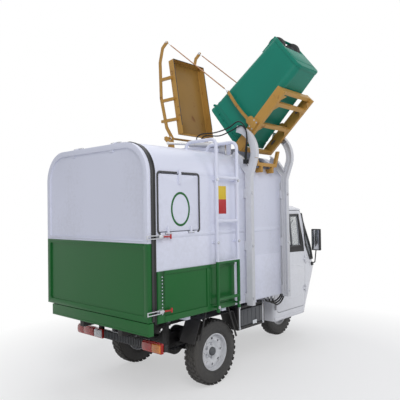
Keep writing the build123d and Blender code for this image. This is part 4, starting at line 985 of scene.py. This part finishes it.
# lifting gear: bin, frame and lid, each in its own plane
gear = {
    "middle": 1405, "frameHalf": 243, "tip": math.radians(43.4), "pivot": (-354, 2461),
    "rimAlong": 643, "foot": 33, "taper": math.atan(80 / 865), "rim": (444, 465), "base": (330, 385),
    "length": 865, "wheelAt": (-803, 407), "lidLean": math.radians(9.4), "lidFoot": (850, 2215),
    "lidWide": 455, "rodFoot": (197, 2526), "rodHead": (980, 3165), "sleeve": 5.4,
}
mid, lidHalf = gear["middle"], gear["lidWide"] / 2


def inFrame(p):  # x ahead, along the frame, out towards the bin
    x, along, out = p
    c, s = math.cos(gear["tip"]), math.sin(gear["tip"])
    return (x, -half + gear["pivot"][0] + along * c + out * s, gear["pivot"][1] - along * s + out * c)


def inBin(p):  # x across, y from base to rim, z to the back wall
    x, y, z = p
    c, s = math.cos(gear["taper"]), math.sin(gear["taper"])
    return inFrame((mid + x, gear["rimAlong"] + y * c - z * s, gear["foot"] + y * s + z * c))


def inLid(p):  # x ahead, y up the lid, z towards the bin
    x, y, z = p
    c, s = math.cos(gear["lidLean"]), math.sin(gear["lidLean"])
    return (x, -half + gear["lidFoot"][0] + y * s - z * c, gear["lidFoot"][1] + y * c + z * s)


def binOutline(y, grow, corner=50, count=6):  # the bin's rounded outline at y
    k = 1 + y / gear["length"]
    wide, deep = (base + (rim - base) * k + 2 * grow for base, rim in zip(gear["base"], gear["rim"]))
    corner += grow
    cz = gear["rim"][1] + grow - deep / 2
    out = []
    for sx, sz, start in ((1, 1, 0), (-1, 1, 90), (-1, -1, 180), (1, -1, 270)):
        for i in range(count + 1):
            a = math.radians(start + 90 * i / count)
            out.append((sx * (wide / 2 - corner) + corner * math.cos(a), y,
                        cz + sz * (deep / 2 - corner) + corner * math.sin(a)))
    return out


def binRing(piece, y0, y1, grow, cut):  # a raised band round the bin, left off below cut
    rings = [binOutline(y0, 0.5), binOutline(y0, grow), binOutline(y1, grow), binOutline(y1, 0.5)]
    n = len(rings[0])
    points = [(x, y, max(z, cut)) for ring in rings for x, y, z in ring]
    faces = [[i * n + k, i * n + (k + 1) % n, (i + 1) * n + (k + 1) % n, (i + 1) * n + k]
             for i in range(3) for k in range(n)]
    faces += [[3 * n + k, 3 * n + (k + 1) % n, (k + 1) % n, k] for k in range(n)]
    piece.faces(points, faces)


with Piece("binRim", "bin_lift", "bin", 0.002, inBin) as rimBand:
    for y0, y1, grow, cut in ((-16, 2, 9, -2), (-52, -46, 5, -1), (-860, -836, 4, 60)):
        binRing(rimBand, y0, y1, grow, cut)
    for x in (-118, -40, 40, 118):
        rimBand.slab([(-46, 466), (-46, 472), (-22, 473), (-22, 466)], 0, x - 3, x + 3)
    wall = gear["rim"][0] / 2 - 57 * 30 / gear["length"]
    for s in (-1, 1):
        for z in (110, 190, 270, 350):
            ear = [(wall - 2, -50), (wall + 8, -46), (wall + 8, -16), (wall + 2, -12)]
            rimBand.slab([(s * x, y) for x, y in ear], 2, z - 3, z + 3)
with Piece("binFoot", "bin_lift", "bin", 0.003, inBin) as binFoot:
    for s in (-1, 1):
        binFoot.slab([(-862, 320), (-700, 330), (-690, 464), (-862, 464)], 0, s * 150, s * 158)
        binFoot.slab([(-860, 84), (-500, 52), (-500, 58), (-860, 92)], 0, s * 90 - 5, s * 90 + 5)
    binFoot.slab(rect(-150, 150, -868, -862), 2, 150, 300)
with Piece("binHubs", "bin_lift", "greyPlastic", 0.0008, inBin) as hubs:
    dish = [(46, -1), (46, 2), (40, 3), (36, 0.5), (18, 0.5)]
    for s in (-1, 1):
        hubs.lathe((s * 138, *gear["wheelAt"]), (s, 0, 0), dish + [(16, 6), (10, 8), (0, 8)], 28)
        hubs.lathe((s * 96, *gear["wheelAt"]), (-s, 0, 0), dish + [(0, 1)], 28)
with Piece("binTyres", "bin_lift", "tyre", 0.0, inBin) as tread:
    grooves = [(80, 15), (81, 6), (79, 5), (79, 2), (81, 1)]
    section = [(76, -22)] + [(r, -h) for r, h in grooves] + grooves[::-1] + [(76, 22), (76, -22)]
    for s in (-1, 1):
        tread.lathe((s * 117, *gear["wheelAt"]), (1, 0, 0), section, 48)
with Piece("lidRibs", "lid", "yellow", 0.002, inLid) as lidBits:
    for x0 in (mid - lidHalf + 5, mid + lidHalf - 30):
        lidBits.slab([(14, 0), (770, 0), (770, 4), (14, 4)], 0, x0, x0 + 25)
    lidBits.slab([(0, 66), (-3, 66), (-3, 69), (0, 69)], 0, mid - lidHalf + 2, mid + lidHalf - 2)
# a thin sheet of darker ochre laid over the lid's inner face: painted shade
with Piece("lidPaintedShade", "lid", "lidPaintedShade", to=inLid) as lidPaintedShade:
    lidPaintedShade.block((mid - lidHalf + 28, mid + lidHalf - 28), (22, 764), (0.6, 2.4))
with Piece("lidLip", "lid", "rubber", to=inLid) as lidLip:
    ends = (mid - lidHalf + 2, mid + lidHalf - 2)
    for x in ends:
        lidLip.pipe([(x, y, 67) for y in (80, 300, 550, 771)], 3.4, 8)
    lidLip.pipe([(x, 773, 67) for x in (ends[0], mid, ends[1])], 3.4, 8)
with Piece("frameGussets", "bin_lift", "yellow", 0.0015, inFrame) as gussets:
    for s in (-1, 1):
        edge = mid + s * (gear["frameHalf"] - 30)
        for along in (34, 139, 364):
            gussets.slab([(edge, along), (edge - s * 46, along), (edge, along + 46)], 2, -58, -52)
        outer = mid + s * (gear["frameHalf"] + 10)
        gussets.slab([(330, -40), (440, -40), (430, 26), (340, 26)], 0, outer - 0.5, outer + 1.5)
with Piece("framePads", "bin_lift", "rubber", 0.002, inFrame) as pads:
    for x in (mid - 178, mid + 178):
        for along in (150, 520):
            pads.block((x - 16, x + 16), (along - 26, along + 26), (-28, -22))
heads("frameBolts", "bin_lift", [
    (*inFrame((mid + s * (gear["frameHalf"] + 11.5), along, out)), "f" if s > 0 else "b", 0.55)
    for s in (-1, 1) for out in (-24, 10) for along in (350, 420)], 0.009)
pinHead = [(10, -1), (10, 4), (7, 7), (0, 7)]
with Piece("lidPins", "lid", "steel") as pins:
    for s in (-1, 1):
        x, (y, z) = mid + s * 255.5, gear["rodHead"]
        pins.lathe((x, -half + y, z), (s, 0, 0), pinHead, 20)
        pins.lathe((x, -half + 920, 2180), (s, 0, 0), [(18, 8), (18, 18), (14, 22), (0, 22)], 24)
with Piece("rodSleeves", "lid_rods", "rodPaint", 0) as sleeves:
    low, high = Vector((0, *gear["rodFoot"])), Vector((0, *gear["rodHead"]))
    for s in (-1, 1):
        ends = [low.lerp(high, k) for k in (0.06, 0.94)]
        sleeves.pipe([(mid + s * 237, -half + p.y, p.z) for p in ends], gear["sleeve"], 12)
with Piece("leverPins", "bin_lift", "steel") as pins:
    for s in (-1, 1):
        pins.lathe((mid + s * 253, -half + gear["rodFoot"][0], gear["rodFoot"][1]), (s, 0, 0), pinHead, 20)
with Piece("collarLip", "box", "white", 0.002) as collarTop:
    for x in ((1184.5, 1187.6), (1622.4, 1625.5)):
        collarTop.block(x, (-half + 205, -half + 878), (2052, 2064))
print("lifting gear dressed")

# underside, pipes and small fittings
hoses = {
    "roofRadius": 5.5, "lowRadius": 7.5, "count": 3, "firstY": -half + 24, "pitchY": 22,
    "rear": 1740, "rearPitch": 7, "front": 1560, "frontPitch": -25,
    "roof": (
        ((1042, -245, 2080), (1043, -247, 2122), (1050, -300, 2134), (1068, -430, 2120), (1085, -560, 2156),
         (1094, -648, 2186), (1096, -700, 2134), (1095, -711, 2040), (1095, -704, 1960), (1095, -700, 1884)),
        ((1042, -176, 2090), (1043, -179, 2132), (1046, -240, 2156), (1056, -380, 2152), (1070, -520, 2176),
         (1077, -634, 2222), (1078, -706, 2160), (1077, -720, 2060), (1077, -706, 1960), (1077, -700, 1884))),
}
lowHoses = [(i, *(hoses[start] + hoses[pitch] * i for start, pitch in (
    ("firstY", "pitchY"), ("rear", "rearPitch"), ("front", "frontPitch")))) for i in range(hoses["count"])]


def flow(points, steps=6):  # a smooth run through points
    points = [Vector(p) for p in points]
    padded = [2 * points[0] - points[1], *points, 2 * points[-1] - points[-2]]
    out = []
    for a, b, c, d in zip(padded, padded[1:], padded[2:], padded[3:]):
        for k in range(steps):
            t = k / steps
            bend = (a * 2 - b * 5 + c * 4 - d) * t * t + (b * 3 - a - c * 3 + d) * t ** 3
            out.append((b * 2 + (c - a) * t + bend) / 2)
    return [tuple(p) for p in out] + [tuple(points[-1])]


hoseRun = Piece("hoseRun", "box", "hose", 0)
for points in hoses["roof"]:
    hoseRun.pipe(flow(points), hoses["roofRadius"])
for i, y, x0, x1 in lowHoses:
    hoseRun.pipe(flow([(x0, y, 790), (x0 + 12, y - 4, 720), (x0 + 8, y - 4, 640), (x0 - 38, y, 580 + 9 * i),
                       (1630, y, 560 + 12 * i), (x1 + 17, y, 588 + 8 * i), (x1, y, 626), (x1, y, 661)]),
                 hoses["lowRadius"], 12)
hoseRun.block((1068, 1104), (-half - 62, -half - 30), (1852, 1888))
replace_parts(hoseRun.done(), "hoses")
for name, key, z in (("sideLabel", "plateYellow", (1546, 1655)), ("sideLabelFoot", "redPaint", (1428, 1546))):
    with Piece(name, "box", key, 0.0004) as label:
        label.block((742, 866), (-half - 1.4, -half + 0.4), z)
with Piece("hoseFerrules", "box", "steel", 0.0008) as fit:
    for i, y, x0, x1 in lowHoses:
        fit.pipe([(x0, y, z) for z in (786, 752)], 11, 12)
        fit.pipe([(x1, y, z) for z in (657, 630)], 11, 12)
    for row in lowHoses:
        fit.lathe((1782, row[1], 812), (1, 0, 0), [(13, -2), (13, 8), (9, 12), (0, 12)], 6)
with Piece("valveKnobs", "box", "darkPlastic", 0) as knobs:
    knob = [(0, -2), (9, 0), (15, 10), (16, 22), (12, 31), (0, 34)]
    for x in (1738, 1766):
        knobs.lathe((x, -half + 30, 1026), (0, -0.1, 1), knob, 20)
with Piece("batteryCover", "chassis", "greyPlastic", 0.003) as cover:
    cover.block((1190, 1510), (-544, -526), (424, 566))
    for x in range(1230, 1471, 60):
        cover.block((x - 5, x + 5), (-548, -543), (434, 556))
with Piece("sideReflector", "chassis", "clearLens", 0.002) as mark:
    mark.block((1352, 1412), (-553, -547), (418, 452))
with Piece("batteryStrap", "chassis", "steel") as strap:
    for x in (1170, 1524):
        strap.block((x - 9, x + 9), (-543, -538), (396, 602))
with Piece("springClamps", "chassis", "steel") as clamps:
    bow = ((300, 282), (300, 342), (306, 346), (354, 346), (360, 342), (360, 282))
    for s in (-1, 1):
        for x in (815, 885):
            clamps.pipe([(x, s * y, z) for y, z in bow], 6, 8)
with Piece("skirtFold", "box", "green", 0.002) as skirt:
    skirt.block((-3, 4), (-half + 4, half - 76), (588, 600))
with Piece("tankCap", "chassis", "steel") as cap:
    cap.lathe((1340, 540, 500), (0, 1, 0), [(40, -2), (40, 6), (34, 10), (0, 10)], 28)
bolts = [(x, s * 275, z, sideways(s), 1.2) for s in (-1, 1) for x in (180, 560, 1300, 1655)
         for z in (545, 575)]
bolts += [(x, -541, z, "r", 0.9) for x in (1170, 1524) for z in (408, 590)]
heads("chassisBolts", "chassis", bolts, 0.010, 0.008)
print("underside dressed")

# driver's seat: two padded cushions in place of the plain block
pad = {
    "base": ((1808, 2134), (-222, 222), (648, 722)), "back": ((1806, 1886), (-212, 212), (744, 1150)),
    "inset": 18, "corner": 0.03, "voxel": 0.006, "pressure": 4.0, "cap": 0.007, "steps": 12,
    "channels": 4, "seamWide": 0.012, "seamDeep": 0.005, "fill": 0.8,
}


def blowUp(thing):  # cloth pushed out by air, by no more than the cap
    flat = thing.data
    start = [v.co.copy() for v in flat.vertices]
    cloth = thing.modifiers.new("blow", "CLOTH")
    cloth.settings.use_pressure, cloth.settings.uniform_pressure_force = True, pad["pressure"]
    cloth.settings.effector_weights.gravity = 0
    cloth.settings.quality = 5
    for step in range(1, pad["steps"] + 1):
        bpy.context.scene.frame_set(step)
    blown = thing.evaluated_get(bpy.context.evaluated_depsgraph_get()).data
    moved = [v.co.copy() for v in blown.vertices]
    thing.modifiers.clear()
    bpy.context.scene.frame_set(1)
    for v, a, b in zip(flat.vertices, start, moved):
        v.co = a + (b - a) * min(1.0, pad["cap"] / max((b - a).length, 1e-9))


def cushion(name, x, y, z, lean):  # a rounded slab, blown up a little, then sewn
    bm = bmesh.new()
    bmesh.ops.create_cube(bm, size=1)
    for v in bm.verts:
        px, py, pz = ((low + high) / 2 + k * (high - low - pad["inset"])
                      for (low, high), k in zip((x, y, z), v.co))
        v.co = at(px + lean * (pz - z[0]), py, pz)
    bmesh.ops.bevel(bm, geom=bm.edges[:], offset=pad["corner"], segments=5, affect="EDGES", profile=0.5)
    data = bpy.data.meshes.new(name)
    bm.to_mesh(data)
    bm.free()
    thing = linked(name, data)
    remesh = thing.modifiers.new("grid", "REMESH")
    remesh.mode, remesh.voxel_size = "VOXEL", pad["voxel"]
    applied(thing)
    blowUp(thing)
    low, high = at(0, y[0], 0).y, at(0, y[1], 0).y
    for v in thing.data.vertices:  # sewn channels across the pad
        t = (v.co.y - low) / (high - low) * pad["channels"]
        near = abs(t - round(t)) / pad["channels"] * (high - low)
        if 0.5 < t < pad["channels"] - 0.5 and near < pad["seamWide"]:
            v.co -= v.normal * pad["seamDeep"] * (1 - near / pad["seamWide"]) ** 2
    smooth = thing.modifiers.new("smooth", "SUBSURF")
    smooth.levels = smooth.render_levels = 1
    seat(thing, "chassis", "seat")
    for face in thing.data.polygons:
        face.use_smooth = True
    return thing


cushions = [cushion("seat_base", *pad["base"], 0.0), cushion("seat_back", *pad["back"], -0.04)]
shell = Piece("seatShell", "chassis", "darkPlastic", 0.004)
shell.block((1802, 2138), (-228, 228), (642, 652))
shell.slab([(1801, 650), (1812, 650), (1806, 1140), (1801, 1140)], 1, -218, 218)
for thing in cushions + [shell.done()]:
    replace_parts(thing, "driver_seat")
print("seat done")

# camera, floor and light
studio = {
    "lens": 43.56, "sensor": 36, "reach": 200, "eye": (-2237.4, -3188.5, 1460), "heading": (0.7396, 0.673),
    "pitch": 1.2, "roll": 0.84, "floor": (0.86, 0.86, 0.87), "floorRadius": 40, "floorNear": 1.6, "floorFade": 1.5,
    "floorGlow": 0.5, "sky": 0.40, "skyColour": (0.93, 0.95, 1.0),
    "lamps": (("keyLight", (-4.5, -4.5, 5.0), (0, 0, 1.2), 4, 180),  # name, place, aim, size, watts
              ("fillLight", (3.5, -5.5, 3.5), (0.4, 0, 1.0), 4, 56),
              ("topLight", (0.5, 1.0, 6.5), (0, 0, 1.0), 5, 90)),
}


def placeCamera():
    pitch, roll = math.radians(studio["pitch"]), math.radians(studio["roll"])
    hx, hy = studio["heading"]
    ahead = Vector((hx * math.cos(pitch), hy * math.cos(pitch), math.sin(pitch))).normalized()
    right = Vector((hy, -hx, 0)).normalized()
    up = right.cross(ahead)
    turned = right * math.cos(roll) - up * math.sin(roll)
    upright = up * math.cos(roll) + right * math.sin(roll)
    data = bpy.data.cameras.new("view")
    data.lens, data.sensor_width, data.clip_end = studio["lens"], studio["sensor"], studio["reach"]
    camera = linked("view", data)
    turn = Matrix((turned, upright, -ahead)).transposed().to_4x4()
    camera.matrix_world = Matrix.Translation(at(*studio["eye"])) @ turn
    bpy.context.scene.camera = camera


def lamp(name, place, aim, size, power):
    data = bpy.data.lights.new(name, "AREA")
    data.shape, data.size, data.energy = "DISK", size, power
    thing = linked(name, data)
    thing.location = Vector(place)
    thing.rotation_euler = (Vector(aim) - Vector(place)).to_track_quat("-Z", "Y").to_euler()


def makeFloor():  # pale to the eye, brighter far out, and it keeps the truck's shadow
    bpy.ops.mesh.primitive_circle_add(vertices=64, radius=studio["floorRadius"], fill_type="NGON")
    floor = bpy.context.object
    floor.name = "studioFloor"
    paint = Paint("floorPaint", studio["floor"], 0.9)
    glow = paint.node("ShaderNodeEmission", {0: (1, 1, 1, 1), 1: 1.0})
    far = paint.node("ShaderNodeVectorMath", {0: paint.place()}, 1, operation="LENGTH")
    fade = ((far - studio["floorNear"]) * (1 / studio["floorFade"])).offset(0)
    pale = (fade * (1 - studio["floorGlow"]) + studio["floorGlow"]) * paint.seen()
    plain = Term(paint, paint.shader.outputs[0])
    mix = paint.node("ShaderNodeMixShader", {0: pale, 1: plain, 2: glow})
    paint.feed(paint.output, mix)
    floor.data.materials.append(paint.material)
    floor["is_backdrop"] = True


def makeSky():  # white where it is seen, plainer as a light
    world = bpy.data.worlds.new("studioWorld")
    bpy.context.scene.world = world
    world.use_nodes = True
    sky = Graph(world.node_tree)
    light = sky.node("ShaderNodeBackground", {0: (*studio["skyColour"], 1), 1: studio["sky"]})
    white = sky.node("ShaderNodeBackground", {0: (1, 1, 1, 1), 1: 1.0})
    mix = sky.node("ShaderNodeMixShader", {0: sky.seen(), 1: light, 2: white})
    sky.node("ShaderNodeOutputWorld", {0: mix})


placeCamera()
makeFloor()
makeSky()
for row in studio["lamps"]:
    lamp(*row)
bpy.context.scene.view_settings.view_transform = "Standard"
print("studio set")

[[list(map(float, corner)) for corner in box] for box in (cadBox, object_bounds())]
